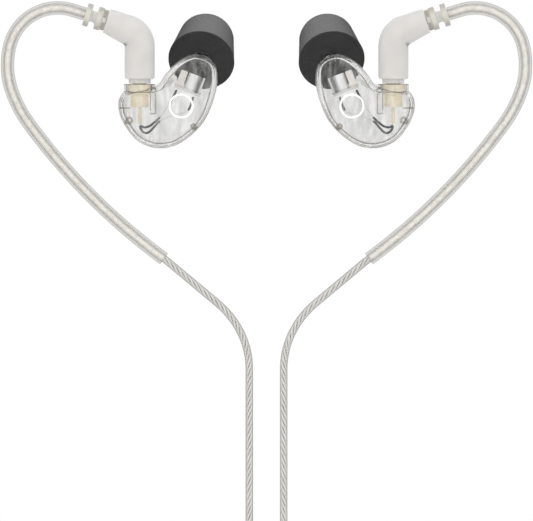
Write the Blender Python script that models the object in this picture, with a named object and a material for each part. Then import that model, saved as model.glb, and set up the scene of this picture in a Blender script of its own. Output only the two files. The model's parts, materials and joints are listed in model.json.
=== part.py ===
"""In ear monitors: two clear-shelled earpieces on over-ear cables, down to a Y splitter and a plug.

Sizes are in millimetres and become metres when a mesh or an object is made. +Z is up, +Y points
at the wearer's head and the cables lie in one plane. The origin is the middle of the splitter's
flat back face. Each earpiece is modelled in its own frame: its empty stands at the mouth of the
cable socket, u runs to the wearer's front, y to the ear and w up. The left side is the mirror
image of the right side.
"""

from math import atan2, ceil, cos, pi, radians, sin, tau

import bmesh
import bpy
from mathutils import Vector

MM = 0.001
UP = Vector((0, 0, 1))
DEPTH = Vector((0, 1, 0))
SHARP_ANGLE = radians(35)
FIT_GAP = 0.05              # clearance round a piece that sits in another one

# Whole object
CONNECTOR_X = 25.37         # socket axis to the middle of the pair
MOUTH_Z = 110.0             # height of the socket mouths
SPLITTER_DEPTH = 4.4
CABLE_PLANE_Y = -SPLITTER_DEPTH / 2

# Earpiece shell
SHELL_OUTLINE = (           # parting line, clockwise from the front of the collar
    (3.3, -0.4), (5.3, 2.2), (8.1, 4.9), (11.3, 6.1), (14.3, 5.0),
    (15.56, 2.4), (15.06, -2.4), (12.74, -7.66), (8.54, -11.6), (4.1, -12.9),
    (-0.3, -11.5), (-3.4, -7.6), (-4.3, -4.0), (-3.1, -1.4), (0.0, -0.4),
)
SHELL_SPAN_POINTS = 2
SHELL_SPINE = ((3.5, -6.0), (11.0, 1.0))    # the line on which the faceplate's crown runs
SHELL_CENTRE = (5.6, -3.5)
SHELL_WALL = 0.7
PARTING_GAP = 0.03
FACE_EDGE_DEPTH = 3.4
FACE_CROWN = 0.6
FACE_EDGE_SHARE = 0.28      # share of the way to the spine that the rounded edge takes
FACE_CAP_SHARE = 0.85
FACE_EDGE_STEPS = 3
FACE_CROWN_STEPS = 1
REAR_STEPS = 5
REAR_STEP_GROWTH = 1.4      # rings stand closer together near the parting line
REAR_DRAFT = 0.3            # how far the rear wall leans in towards the spine
REAR_PULL = (3.0, 0.22)     # handle of the funnel's curve at the parting line: fixed part, share of reach
NOZZLE_PULL = (1.5, 0.2)    # the same at the nozzle's root
SPLIT_REACH = 60.0          # size of the blocks that cut the shell in two

# Nozzle and ear tip
TIP_BASE = Vector((12.29, 8.0, 4.72))
TIP_AXIS = Vector((0.1137, 0.8616, 0.4948)).normalized()
NOZZLE_RADIUS = 1.7
NOZZLE_ROOT = -0.8          # from the tip's base along its axis
NOZZLE_END = 4.7
NOZZLE_BORE = 1.0
CORE_RADIUS = 2.3
CORE_LENGTH = 11.0
FOAM_BASE_RADIUS = 6.7
FOAM_EDGE = 0.25
FOAM_SHOULDER_RADIUS = 5.56
FOAM_SHOULDER = 9.06
FOAM_APEX = 14.05           # where the crown would meet the axis
FOAM_CROWN_POWER = 1.54     # 2 would be an ellipse, 1 a cone
FOAM_CROWN_STEPS = 6
SOUND_BORE_DEPTH = 2.0
FILTER_SPAN = (-0.7, -0.3)  # from the nozzle's end

# Socket in the shell
COLLAR_RADIUS = 3.1
COLLAR_DEPTH = 1.8
SOCKET_DEPTH = 2.2
JACK_HEAD_RADIUS = 2.2
JACK_HEAD_DEPTH = 2.04
JACK_RADIUS = 1.83
JACK_DEPTH = 4.64
JACK_BORE = 1.62
CONTACT_RADIUS = 0.45
CONTACT_BORE = 0.25
CONTACT_TOP = -1.2
CONTACT_FLOOR = -3.0
JACK_INSULATOR_TOP = -3.2
TAIL_RADIUS = 0.37
TAIL_END = -7.94
WIRE_RADIUS = 0.24
SIGNAL_WIRE = (
    (0.1, 0.3, -8.24), (0.9, 0.3, -8.64), (1.9, 0.35, -8.42), (2.7, 0.4, -7.84),
    (4.06, 0.5, -6.6), (5.9, 0.6, -4.06), (7.4, 0.6, -1.15),
)
GROUND_WIRE = (
    (0.1, -0.3, -8.36), (0.32, -0.3, -9.0), (0.76, -0.3, -9.6), (1.4, -0.3, -9.82),
    (2.7, -0.25, -8.74), (4.06, -0.1, -7.4), (6.6, 0.2, -6.2), (9.5, 0.6, -5.4), (10.75, 0.6, -2.55),
)

# Drivers, in a block that leans with the tip
BLOCK_CENTRE = Vector((10.19, 0.6, 0.41))
BLOCK_AXIS = Vector((0.36, 0, 0.93)).normalized()
BLOCK_HEIGHT = 3.4
CAN_RADIUS = 1.75
CAN_WALL = 0.15
CAN_OFFSET = 0.8            # from the block's centre, across its axis
ARMATURE_SIZE = (1.4, 3.4, 3.4)
ARMATURE_EDGE = 0.25
ARMATURE_OFFSET = -1.85
MAGNET_RADIUS = 1.1
MAGNET_TOP = 1.3            # from the can's floor
DIAPHRAGM_PROFILE = (       # radius, height above the block's centre
    (0, 0.9), (0.8, 0.75), (1.5, 0.7), (1.5, 0.85), (0.8, 0.9), (0, 1.05),
)
TRAY_SIZE = (5.5, 3.9, 0.85)
TRAY_POCKET = (5.2, 3.6)
TRAY_FLOOR = 0.35
TRAY_CUT_HEIGHT = 2.0

# Plug on the ear-hook cable
PLUG_RADIUS = 1.45
PLUG_BORE = 1.05
PLUG_TOP = 3.2
PLUG_END = -2.9
PLUG_CHAMFER = (0.1, 0.15)  # across and along
PLUG_INSULATOR_SPAN = (0.3, 2.6)
GROOVE_RADIUS = 1.25
GROOVE_TOP = -1.4
GROOVE_HEIGHT = 0.5
RING_INNER = 1.3
RING_OUTER = 1.56
RING_OPENING = radians(50)
RING_MARGIN = 0.07          # play on each side in its groove
RING_STEPS = 14
PIN_RADIUS = 0.2
PIN_SPAN = (-2.4, 3.0)
PIN_POINT = 0.2

# Elbow, strain relief and ear hook
ELBOW_RADIUS = 3.0
ELBOW_NECK_RADIUS = 2.2
ELBOW_NECK_TOP = 1.0
ELBOW_FOOT = 0.1            # gap to the collar
ELBOW_EDGE = 0.35
ELBOW_CORNER = 7.64
ELBOW_BEND = ((3.35, 66.5),)
ELBOW_ARM = ((4.0,), (8.4, 6.0), (0.1,))
ELBOW_STEP = 1.0
ELBOW_SIDES = 16
ELBOW_END_RADIUS = 2.46
RELIEF_HEADING = 162.5
RELIEF_RADIUS = 2.33
RELIEF_COLLAR_RADIUS = 2.1
RELIEF_NECK_RADIUS = 1.1
RELIEF_STATIONS = (0.05, 1.0, 2.12, 3.36, 4.46)     # collar, rib, neck, rib, end
TUBE_START = 4.55
HOOK_LEGS = (               # (length,) is straight, (radius, turn in degrees) is an arc
    (7.1,), (9.9, 93.0), (15.9, 33.8), (25.4, 17.1), (126.4, 17.3),
)
HOOK_STEP = 5.2
TUBE_RADIUS = 1.35
TUBE_BORE = 0.95
CABLE_RADIUS = 0.75
CABLE_BORE = 0.85
FLEX_REACH = 1.0            # cable's flex point, beyond the end of the hook tube
FLEX_GAP = 0.2              # bare length on each side of the flex point

# Strands, slider, splitter and plug
STRAND_HEADING = -39.9
STRAND_ARCS = ((18.4, -21.0), (16.5, -29.1))
STRAND_STEP = 4.0
STRAND_X = 3.44
STRAND_END_Z = 2.2
SLIDER_SIZE = (10.4, 4.4, 9.0)
SLIDER_Z = 15.1
SLIDER_BEVEL = 1.4
SPLITTER_HALF_WIDTHS = ((7.0, 5.3), (1.0, 5.3), (-7.0, 2.4))    # height, half width
SPLITTER_SOCKET_Z = 1.8
SPLITTER_BEVEL = 0.8
CUT_BEYOND = 8.0            # how far the splitter's and slider's cutters reach
LEAD_RADIUS = 1.0
LEAD_BORE = 1.05
LEAD_TOP_Z = -2.2
LEAD_END_Z = -24.7
BOOT_TOP_Z = -16.6
BOOT_BOTTOM_Z = -22.5
BOOT_TOP_RADIUS = 1.5
BOOT_BOTTOM_RADIUS = 2.2
BOOT_RIBS = 3
BOOT_RIB_SHARE = 0.62       # share of the pitch that a rib takes
BOOT_GROOVE = 0.4
HOUSING_Z = -27.0
HOUSING_RADIUS = 3.9
HOUSING_LENGTH = 9.0
HOUSING_EDGE = 0.6
HOUSING_NECK_RADIUS = 2.4
HOUSING_NECK_TOP_Z = -22.6
PLUG_SOCKET_DEPTH = 4.0
JACK_PIN_RADIUS = 1.75      # 3.5 mm plug
JACK_BAND_RADIUS = 1.7
JACK_CORE_RADIUS = 1.2
JACK_ROD_RADIUS = 0.6
SLEEVE_SPAN = (-3.0, 5.8)   # along the plug, from the housing's shoulder
BAND_SPANS = ((5.8, 6.5), (8.7, 9.4))
RING_SPAN = (6.5, 8.7)
TIP_PROFILE = (             # radius, distance from the shoulder
    (1.75, 9.45), (1.75, 10.3), (1.3, 10.9), (1.3, 11.2), (1.75, 12.0), (1.5, 13.2), (0.5, 14.0),
)

COLOURS = {                 # base colour, metallic, roughness, transmission
    "clear_plastic": ((0.93, 0.93, 0.93), 0.0, 0.05, 0.9),
    "frosted_plastic": ((0.78, 0.77, 0.75), 0.0, 0.45, 0.3),
    "relief_rubber": ((0.72, 0.70, 0.64), 0.0, 0.5, 0.2),
    "clear_tube": ((0.85, 0.84, 0.81), 0.0, 0.15, 0.8),
    "silver_cable": ((0.75, 0.72, 0.67), 0.3, 0.4, 0.0),
    "gold": ((0.86, 0.75, 0.50), 1.0, 0.3, 0.0),
    "steel": ((0.75, 0.75, 0.76), 1.0, 0.25, 0.0),
    "dielectric": ((0.90, 0.89, 0.86), 0.0, 0.5, 0.0),
    "enamelled_wire": ((0.08, 0.08, 0.09), 0.0, 0.5, 0.0),
    "armature_case": ((0.85, 0.79, 0.74), 0.4, 0.35, 0.0),
    "diaphragm": ((0.60, 0.62, 0.65), 0.0, 0.4, 0.0),
    "damper": ((0.35, 0.36, 0.38), 0.5, 0.6, 0.0),
    "foam": ((0.06, 0.06, 0.065), 0.0, 0.95, 0.0),
    "tip_core": ((0.12, 0.12, 0.12), 0.0, 0.6, 0.0),
}


# ---------------------------------------------------------------- scene helpers

def clear_scene():
    for obj in list(bpy.data.objects):
        bpy.data.objects.remove(obj, do_unlink=True)


def make_material(name):
    colour, metallic, roughness, transmission = COLOURS[name]
    material = bpy.data.materials.new(name)
    material.use_nodes = True
    shader = material.node_tree.nodes["Principled BSDF"]
    shader.inputs["Base Color"].default_value = (*colour, 1.0)
    shader.inputs["Metallic"].default_value = metallic
    shader.inputs["Roughness"].default_value = roughness
    shader.inputs["Transmission Weight"].default_value = transmission
    return material


def make_empty(name, location, parent=None, mirrored=False):
    empty = bpy.data.objects.new(name, None)
    empty.empty_display_size = 3 * MM
    empty.parent = parent
    empty.location = Vector(location) * MM
    empty.scale = (-1 if mirrored else 1, 1, 1)
    bpy.context.collection.objects.link(empty)
    return empty


def make_object(name, bm, material, parent, at=(0, 0, 0), axis=UP):
    """Name and place a millimetre mesh; its own Z points along `axis`."""
    bmesh.ops.scale(bm, verts=bm.verts, vec=(MM, MM, MM))
    mesh = bpy.data.meshes.new(name)
    bm.to_mesh(mesh)
    bm.free()
    mesh.shade_smooth()
    mesh.set_sharp_from_angle(angle=SHARP_ANGLE)
    obj = bpy.data.objects.new(name, mesh)
    bpy.context.collection.objects.link(obj)
    if material is not None:
        mesh.materials.append(material)
    pivot = parent.location if parent.parent else Vector((0, 0, 0))
    obj.parent = parent
    obj.location = Vector(at) * MM - pivot
    obj.rotation_mode = "QUATERNION"
    obj.rotation_quaternion = UP.rotation_difference(Vector(axis))
    return obj


def make_cutter(name, bm, parent, at=(0, 0, 0), axis=UP):
    cutter = make_object(name, bm, None, parent, at, axis)
    cutter.hide_render = True
    cutter.display_type = "WIRE"
    return cutter


def combine(obj, operation, other):
    modifier = obj.modifiers.new(f"{operation.lower()} {other.name}", "BOOLEAN")
    modifier.operation = operation
    modifier.solver = "EXACT"
    modifier.object = other


def bevel_edges(obj, width, segments=2):
    modifier = obj.modifiers.new("rounded edges", "BEVEL")
    modifier.width = width * MM
    modifier.segments = segments
    modifier.limit_method = "ANGLE"


# ---------------------------------------------------------------- shape helpers

def bridge(bm, ring, following):
    for i, vert in enumerate(ring):
        before = i - 1
        bm.faces.new((ring[before], vert, following[i], following[before]))


def loft(rings, bore=None):
    """Close a stack of rings into a bar, or into a pipe round the rings of `bore`."""
    bm = bmesh.new()
    stacks = [rings] if bore is None else [rings, bore]
    skins = [[[bm.verts.new(point) for point in ring] for ring in stack] for stack in stacks]
    for skin in skins:
        for ring, following in zip(skin, skin[1:]):
            bridge(bm, ring, following)
    for end in (0, -1):
        if bore is None:
            bm.faces.new(skins[0][end])
        else:
            bridge(bm, skins[0][end], skins[1][end])
    bmesh.ops.recalc_face_normals(bm, faces=bm.faces)
    return bm


def turned(profile, sides, closed=False):
    """Turn a (radius, height) profile round Z: a closed loop, or a chain that ends on the axis."""
    bm = bmesh.new()
    verts = [bm.verts.new((radius, 0, height)) for radius, height in profile]
    edges = [bm.edges.new(pair) for pair in zip(verts, verts[1:])]
    if closed:
        edges.append(bm.edges.new((verts[-1], verts[0])))
    bmesh.ops.spin(
        bm, geom=verts + edges, cent=(0, 0, 0), axis=(0, 0, 1), angle=tau, steps=sides, use_merge=True
    )
    bmesh.ops.remove_doubles(bm, verts=bm.verts, dist=1e-5)
    bmesh.ops.recalc_face_normals(bm, faces=bm.faces)
    return bm


def disc(radius, low, high, sides=20):
    return turned(((0, low), (radius, low), (radius, high), (0, high)), sides)


def annulus(inner, outer, low, high, sides=20):
    return turned(((inner, low), (outer, low), (outer, high), (inner, high)), sides, closed=True)


def block(size):
    bm = bmesh.new()
    bmesh.ops.create_cube(bm, size=1.0)
    bmesh.ops.scale(bm, verts=bm.verts, vec=size)
    return bm


def round_rings(path, radii, sides):
    """Circles across a path, carried along it without twisting."""
    rings = []
    side = DEPTH
    last = len(path) - 1
    for i, (point, radius) in enumerate(zip(path, radii)):
        tangent = (path[min(i + 1, last)] - path[max(i - 1, 0)]).normalized()
        side = (side - tangent * side.dot(tangent)).normalized()
        other = tangent.cross(side)
        angles = [tau * k / sides for k in range(sides)]
        rings.append([point + radius * (cos(a) * side + sin(a) * other) for a in angles])
    return rings


def bar(path, radius, sides=8):
    return loft(round_rings(path, [radius] * len(path), sides))


def pipe(path, radius, bore, sides=10):
    outer = round_rings(path, [radius] * len(path), sides)
    return loft(outer, round_rings(path, [bore] * len(path), sides))


def direction(heading):
    return Vector((cos(radians(heading)), 0, sin(radians(heading))))


def trace(start, heading, legs, step):
    """Follow straight legs and tangent arcs in the cable plane; return the points and heading."""
    points = [Vector(start)]
    for leg in legs:
        if len(leg) == 1:
            count = ceil(leg[0] / step)
            for _ in range(count):
                points.append(points[-1] + direction(heading) * leg[0] / count)
            continue
        radius, turn = leg
        side = 1 if turn > 0 else -1
        centre = points[-1] + direction(heading + 90 * side) * radius
        count = ceil(radius * radians(abs(turn)) / step)
        for _ in range(count):
            heading += turn / count
            points.append(centre - direction(heading + 90 * side) * radius)
    return points, heading


def spline(points, span_points, closed):
    """Catmull-Rom curve through the points."""
    count = len(points)
    curve = []
    for i in range(count if closed else count - 1):
        before = points[i - 1] if closed or i > 0 else points[i]
        start = points[i]
        end = points[(i + 1) % count]
        after = points[(i + 2) % count] if closed or i + 2 < count else end
        for k in range(span_points):
            t = k / span_points
            curve.append(
                (start * 2 + (end - before) * t
                 + (before * 2 - start * 5 + end * 4 - after) * t ** 2
                 + (start * 3 - before - end * 3 + after) * t ** 3) / 2
            )
    if not closed:
        curve.append(points[-1])
    return curve


# ---------------------------------------------------------------- earpiece

def spine_point(point):
    start, end = (Vector((u, 0, w)) for u, w in SHELL_SPINE)
    run = end - start
    share = min(max((point - start).dot(run) / run.length_squared, 0), 1)
    return start + run * share


def face_depth(share):
    """Depth of the faceplate's surface at a share of the way from the rim to the spine."""
    if share < FACE_EDGE_SHARE:
        across = 1 - share / FACE_EDGE_SHARE
        return FACE_EDGE_DEPTH * (1 - across ** 2) ** 0.5
    left = (1 - share) / (1 - FACE_EDGE_SHARE)
    return FACE_EDGE_DEPTH + FACE_CROWN * (1 - left ** 2)


def face_rings(rim):
    turns = [pi / 2 * k / FACE_EDGE_STEPS for k in range(1, FACE_EDGE_STEPS + 1)]
    edge = [FACE_EDGE_SHARE * (1 - cos(turn)) for turn in turns]
    crown_run = FACE_CAP_SHARE - FACE_EDGE_SHARE
    crown = [FACE_EDGE_SHARE + crown_run * k / FACE_CROWN_STEPS for k in range(1, FACE_CROWN_STEPS + 1)]
    return [
        [point.lerp(spine_point(point), share) - DEPTH * face_depth(share) for point in rim]
        for share in edge + crown
    ]


def rear_rings(rim):
    """Funnel from the parting line to the nozzle's root, then the nozzle."""
    across = (Vector((1, 0, 0)) - TIP_AXIS * TIP_AXIS.x).normalized()
    upward = across.cross(TIP_AXIS)
    root = TIP_BASE + TIP_AXIS * NOZZLE_ROOT
    spokes = []
    for point in rim:
        angle = atan2(point.z - SHELL_CENTRE[1], point.x - SHELL_CENTRE[0])
        spokes.append((across * cos(angle) + upward * sin(angle)) * NOZZLE_RADIUS)
    rings = []
    for k in range(1, REAR_STEPS + 1):
        t = (k / REAR_STEPS) ** REAR_STEP_GROWTH
        ring = []
        for point, spoke in zip(rim, spokes):
            reach = (point - Vector((root.x, 0, root.z))).length
            leave = point.lerp(spine_point(point), REAR_DRAFT) + DEPTH * (REAR_PULL[0] + REAR_PULL[1] * reach)
            arrive = root + spoke - TIP_AXIS * (NOZZLE_PULL[0] + NOZZLE_PULL[1] * reach)
            ring.append(
                point * (1 - t) ** 3 + leave * 3 * t * (1 - t) ** 2
                + arrive * 3 * t ** 2 * (1 - t) + (root + spoke) * t ** 3
            )
        rings.append(ring)
    end = TIP_BASE + TIP_AXIS * NOZZLE_END
    rings.append([end + spoke for spoke in spokes])
    return rings


def shell_surface():
    outline = [Vector((u, 0, w)) for u, w in SHELL_OUTLINE]
    rim = spline(outline, SHELL_SPAN_POINTS, closed=True)
    return loft(face_rings(rim)[::-1] + [rim] + rear_rings(rim))


def make_shell_half(name, front, materials, side, cutters):
    half = make_object(name, shell_surface(), materials["clear_plastic"], side)
    wall = half.modifiers.new("wall", "SOLIDIFY")
    wall.thickness = SHELL_WALL * MM
    wall.offset = -1
    wall.use_even_offset = True
    combine(half, "UNION", cutters["collar"])
    combine(half, "DIFFERENCE", cutters["socket"])
    if front:
        combine(half, "INTERSECT", cutters["front_space"])
    else:
        combine(half, "DIFFERENCE", cutters["sound_bore"])
        combine(half, "INTERSECT", cutters["rear_space"])
    return half


def make_shell(prefix, side, materials):
    space = (SPLIT_REACH,) * 3
    space_offset = SPLIT_REACH / 2 + PARTING_GAP
    bore_start = TIP_BASE + TIP_AXIS * (NOZZLE_END - SOUND_BORE_DEPTH)
    socket = disc(JACK_HEAD_RADIUS + FIT_GAP, -SOCKET_DEPTH, 1)
    sound_bore = disc(NOZZLE_BORE, 0, 2 * SOUND_BORE_DEPTH, 16)
    cutters = {
        "collar": make_cutter(prefix + "collar_form", disc(COLLAR_RADIUS, -COLLAR_DEPTH, 0), side),
        "socket": make_cutter(prefix + "socket_bore", socket, side),
        "sound_bore": make_cutter(prefix + "sound_bore", sound_bore, side, bore_start, TIP_AXIS),
        "front_space": make_cutter(prefix + "front_space", block(space), side, (0, -space_offset, 0)),
        "rear_space": make_cutter(prefix + "rear_space", block(space), side, (0, space_offset, 0)),
    }
    make_shell_half(prefix + "faceplate", True, materials, side, cutters)
    make_shell_half(prefix + "rear_shell", False, materials, side, cutters)


def make_socket(prefix, side, materials):
    top = -FIT_GAP
    body = (
        (JACK_BORE, top), (JACK_HEAD_RADIUS, top), (JACK_HEAD_RADIUS, -JACK_HEAD_DEPTH),
        (JACK_RADIUS, -JACK_HEAD_DEPTH), (JACK_RADIUS, -JACK_DEPTH), (JACK_BORE, -JACK_DEPTH),
    )
    make_object(prefix + "jack_body", turned(body, 20, closed=True), materials["gold"], side)
    insulator = annulus(CONTACT_RADIUS + FIT_GAP, JACK_BORE - FIT_GAP, -JACK_DEPTH, JACK_INSULATOR_TOP)
    make_object(prefix + "jack_insulator", insulator, materials["dielectric"], side)
    contact = (
        (0, TAIL_END), (TAIL_RADIUS, TAIL_END), (TAIL_RADIUS, -JACK_DEPTH),
        (CONTACT_RADIUS, -JACK_DEPTH), (CONTACT_RADIUS, CONTACT_TOP), (CONTACT_BORE, CONTACT_TOP),
        (CONTACT_BORE, CONTACT_FLOOR), (0, CONTACT_FLOOR),
    )
    make_object(prefix + "jack_contact", turned(contact, 12), materials["gold"], side)
    for name, points in (("signal_wire", SIGNAL_WIRE), ("ground_wire", GROUND_WIRE)):
        path = spline([Vector(point) for point in points], 2, closed=False)
        make_object(prefix + name, bar(path, WIRE_RADIUS, 6), materials["enamelled_wire"], side)


def make_drivers(prefix, side, materials):
    across = DEPTH.cross(BLOCK_AXIS)
    half = BLOCK_HEIGHT / 2
    can_place = BLOCK_CENTRE + across * CAN_OFFSET
    inner = CAN_RADIUS - CAN_WALL
    floor = -half + CAN_WALL
    can = ((0, -half), (CAN_RADIUS, -half), (CAN_RADIUS, half), (inner, half), (inner, floor), (0, floor))
    make_object(prefix + "driver_can", turned(can, 20), materials["steel"], side, can_place, BLOCK_AXIS)
    magnet = disc(MAGNET_RADIUS, floor + FIT_GAP, floor + MAGNET_TOP, 16)
    make_object(prefix + "driver_magnet", magnet, materials["steel"], side, can_place, BLOCK_AXIS)
    dome = turned(DIAPHRAGM_PROFILE, 16)
    make_object(prefix + "driver_diaphragm", dome, materials["diaphragm"], side, can_place, BLOCK_AXIS)
    armature = make_object(
        prefix + "armature_driver", block(ARMATURE_SIZE), materials["armature_case"], side,
        BLOCK_CENTRE + across * ARMATURE_OFFSET, BLOCK_AXIS,
    )
    bevel_edges(armature, ARMATURE_EDGE)
    floor_top = -half - FIT_GAP
    tray_centre = floor_top - TRAY_FLOOR + TRAY_SIZE[2] / 2
    tray = make_object(
        prefix + "driver_carrier", block(TRAY_SIZE), materials["frosted_plastic"], side,
        BLOCK_CENTRE + BLOCK_AXIS * tray_centre, BLOCK_AXIS,
    )
    pocket = make_cutter(
        prefix + "tray_pocket", block((*TRAY_POCKET, TRAY_CUT_HEIGHT)), side,
        BLOCK_CENTRE + BLOCK_AXIS * (floor_top + TRAY_CUT_HEIGHT / 2), BLOCK_AXIS,
    )
    combine(tray, "DIFFERENCE", pocket)


def foam_crown(bore):
    """Superellipse from the shoulder to the rim of the bore."""
    power = FOAM_CROWN_POWER
    rim = (1 - (bore / FOAM_SHOULDER_RADIUS) ** power) ** (1 / power)
    crown = []
    for k in range(FOAM_CROWN_STEPS + 1):
        along = rim * sin(pi / 2 * k / FOAM_CROWN_STEPS)
        across = (1 - along ** power) ** (1 / power)
        crown.append((
            FOAM_SHOULDER_RADIUS * across, FOAM_SHOULDER + (FOAM_APEX - FOAM_SHOULDER) * along,
        ))
    return crown


def make_tip(prefix, side, materials):
    low, high = (NOZZLE_END + offset for offset in FILTER_SPAN)
    damper = disc(NOZZLE_BORE - FIT_GAP, low, high, 16)
    make_object(prefix + "nozzle_filter", damper, materials["damper"], side, TIP_BASE, TIP_AXIS)
    core = annulus(NOZZLE_RADIUS + FIT_GAP, CORE_RADIUS, 0, CORE_LENGTH, 16)
    make_object(prefix + "tip_core", core, materials["tip_core"], side, TIP_BASE, TIP_AXIS)
    bore = CORE_RADIUS + FIT_GAP
    edge = [(bore, 0), (FOAM_BASE_RADIUS - FOAM_EDGE, 0), (FOAM_BASE_RADIUS, FOAM_EDGE)]
    profile = edge + foam_crown(bore)
    foam = turned(profile, 20, closed=True)
    make_object(prefix + "foam_tip", foam, materials["foam"], side, TIP_BASE, TIP_AXIS)


# ---------------------------------------------------------------- ear hook

def elbow_path():
    bend, heading = trace((0, 0, ELBOW_CORNER), 90, ELBOW_BEND, ELBOW_STEP)
    arm, _ = trace(bend[-1], heading, ELBOW_ARM, ELBOW_STEP)
    return bend, arm[1:]


def hook_path():
    elbow_end = elbow_path()[1][-1]
    start = elbow_end + direction(RELIEF_HEADING) * TUBE_START
    first_leg = (HOOK_LEGS[0][0] - TUBE_START,)
    return trace(start, RELIEF_HEADING, (first_leg,) + HOOK_LEGS[1:], HOOK_STEP)


def flex_point():
    points, heading = hook_path()
    return points[-1] + direction(heading) * FLEX_REACH


def make_elbow(prefix, pivot, materials):
    bend, arm = elbow_path()
    stem = (
        (ELBOW_FOOT, ELBOW_NECK_RADIUS), (ELBOW_NECK_TOP, ELBOW_NECK_RADIUS),
        (ELBOW_NECK_TOP, ELBOW_RADIUS - ELBOW_EDGE), (ELBOW_NECK_TOP + ELBOW_EDGE, ELBOW_RADIUS),
    )
    narrowing = (ELBOW_RADIUS - ELBOW_END_RADIUS) / len(arm)
    taper = [ELBOW_RADIUS - narrowing * (k + 1) for k in range(len(arm))]
    path = [Vector((0, 0, height)) for height, _ in stem] + bend + arm
    radii = [radius for _, radius in stem] + [ELBOW_RADIUS] * len(bend) + taper
    socket = PLUG_RADIUS + FIT_GAP
    roof = PLUG_TOP + 2 * FIT_GAP
    cavity = ((ELBOW_FOOT, socket), (roof, socket), (roof, CABLE_BORE))
    bore_path = [Vector((0, 0, height)) for height, _ in cavity] + bend + arm
    bore_radii = [radius for _, radius in cavity] + [CABLE_BORE] * (len(bend) + len(arm))
    elbow = loft(
        round_rings(path, radii, ELBOW_SIDES), round_rings(bore_path, bore_radii, ELBOW_SIDES)
    )
    make_object(prefix + "elbow", elbow, materials["frosted_plastic"], pivot)


def make_plug(prefix, side, pivot, materials):
    groove_bottom = GROOVE_TOP - GROOVE_HEIGHT
    across, along = PLUG_CHAMFER
    barrel = (
        (PLUG_BORE, PLUG_TOP), (PLUG_BORE, PLUG_END), (PLUG_RADIUS - across, PLUG_END),
        (PLUG_RADIUS, PLUG_END + along), (PLUG_RADIUS, groove_bottom), (GROOVE_RADIUS, groove_bottom),
        (GROOVE_RADIUS, GROOVE_TOP), (PLUG_RADIUS, GROOVE_TOP), (PLUG_RADIUS, PLUG_TOP),
    )
    make_object(prefix + "plug_barrel", turned(barrel, 16, closed=True), materials["gold"], pivot)
    insulator = annulus(PIN_RADIUS + FIT_GAP, PLUG_BORE - FIT_GAP, *PLUG_INSULATOR_SPAN, 16)
    make_object(prefix + "plug_insulator", insulator, materials["dielectric"], pivot)
    foot, top = PIN_SPAN
    pin = turned(((0, foot), (PIN_RADIUS, foot + PIN_POINT), (PIN_RADIUS, top), (0, top)), 10)
    make_object(prefix + "plug_pin", pin, materials["gold"], pivot)
    low = Vector((0, 0, groove_bottom + RING_MARGIN))
    high = Vector((0, 0, GROOVE_TOP - RING_MARGIN))
    sections = []
    for k in range(RING_STEPS + 1):
        angle = RING_OPENING / 2 + (tau - RING_OPENING) * k / RING_STEPS
        spoke = Vector((cos(angle), sin(angle), 0))
        sections.append([
            low + spoke * RING_INNER, low + spoke * RING_OUTER,
            high + spoke * RING_OUTER, high + spoke * RING_INNER,
        ])
    make_object(prefix + "snap_ring", loft(sections), materials["steel"], side)


def make_hook(prefix, pivot, materials):
    arm = elbow_path()[1]
    elbow_end = arm[-1]
    run = direction(RELIEF_HEADING)
    collar, rib, neck, rib_2, end = RELIEF_STATIONS
    stations = (
        (collar, RELIEF_COLLAR_RADIUS), (rib, RELIEF_COLLAR_RADIUS), (rib, RELIEF_RADIUS),
        (neck, RELIEF_RADIUS), (neck, RELIEF_NECK_RADIUS), (rib_2, RELIEF_NECK_RADIUS),
        (rib_2, RELIEF_RADIUS), (end, RELIEF_RADIUS),
    )
    path = [elbow_end + run * distance for distance, _ in stations]
    outer = round_rings(path, [radius for _, radius in stations], ELBOW_SIDES)
    bore = round_rings([path[0], path[-1]], [CABLE_BORE] * 2, ELBOW_SIDES)
    make_object(prefix + "strain_relief", loft(outer, bore), materials["relief_rubber"], pivot)
    points, heading = hook_path()
    make_object(
        prefix + "hook_tube", pipe(points, TUBE_RADIUS, TUBE_BORE), materials["clear_tube"], pivot
    )
    tail = points[-1] + direction(heading) * (FLEX_REACH - FLEX_GAP)
    cable = bar(arm[1:] + points + [tail], CABLE_RADIUS)
    make_object(prefix + "hook_cable", cable, materials["silver_cable"], pivot)


def make_strand(prefix, side, materials):
    start = flex_point() + direction(STRAND_HEADING) * FLEX_GAP
    foot = Vector((CONNECTOR_X - STRAND_X, 0, STRAND_END_Z - MOUTH_Z))
    arc_end = trace(start, STRAND_HEADING, STRAND_ARCS, STRAND_STEP)[0][-1]
    slope = (foot.x - arc_end.x) / cos(radians(STRAND_HEADING))
    points, _ = trace(start, STRAND_HEADING, ((slope,),) + STRAND_ARCS, STRAND_STEP)
    points.append(foot)
    make_object(prefix + "strand", bar(points, CABLE_RADIUS), materials["silver_cable"], side)


def make_side(name, mirrored, materials):
    prefix = name + "_"
    sign = 1 if mirrored else -1
    side = make_empty(prefix + "socket_axis", (sign * CONNECTOR_X, CABLE_PLANE_Y, MOUTH_Z), mirrored=mirrored)
    pivot = make_empty(prefix + "flex_axis", flex_point(), side)
    make_shell(prefix, side, materials)
    make_socket(prefix, side, materials)
    make_drivers(prefix, side, materials)
    make_tip(prefix, side, materials)
    make_elbow(prefix, pivot, materials)
    make_plug(prefix, side, pivot, materials)
    make_hook(prefix, pivot, materials)
    make_strand(prefix, side, materials)


# ---------------------------------------------------------------- slider, splitter and plug

def make_slider(centre, materials):
    slider = make_object(
        "cable_slider", block(SLIDER_SIZE), materials["frosted_plastic"], centre, (0, 0, SLIDER_Z)
    )
    bevel_edges(slider, SLIDER_BEVEL, 3)
    for name, x in (("slider_bore_right", -STRAND_X), ("slider_bore_left", STRAND_X)):
        bore = disc(CABLE_RADIUS + FIT_GAP, -CUT_BEYOND, CUT_BEYOND, 12)
        combine(slider, "DIFFERENCE", make_cutter(name, bore, centre, (x, 0, SLIDER_Z)))


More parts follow.
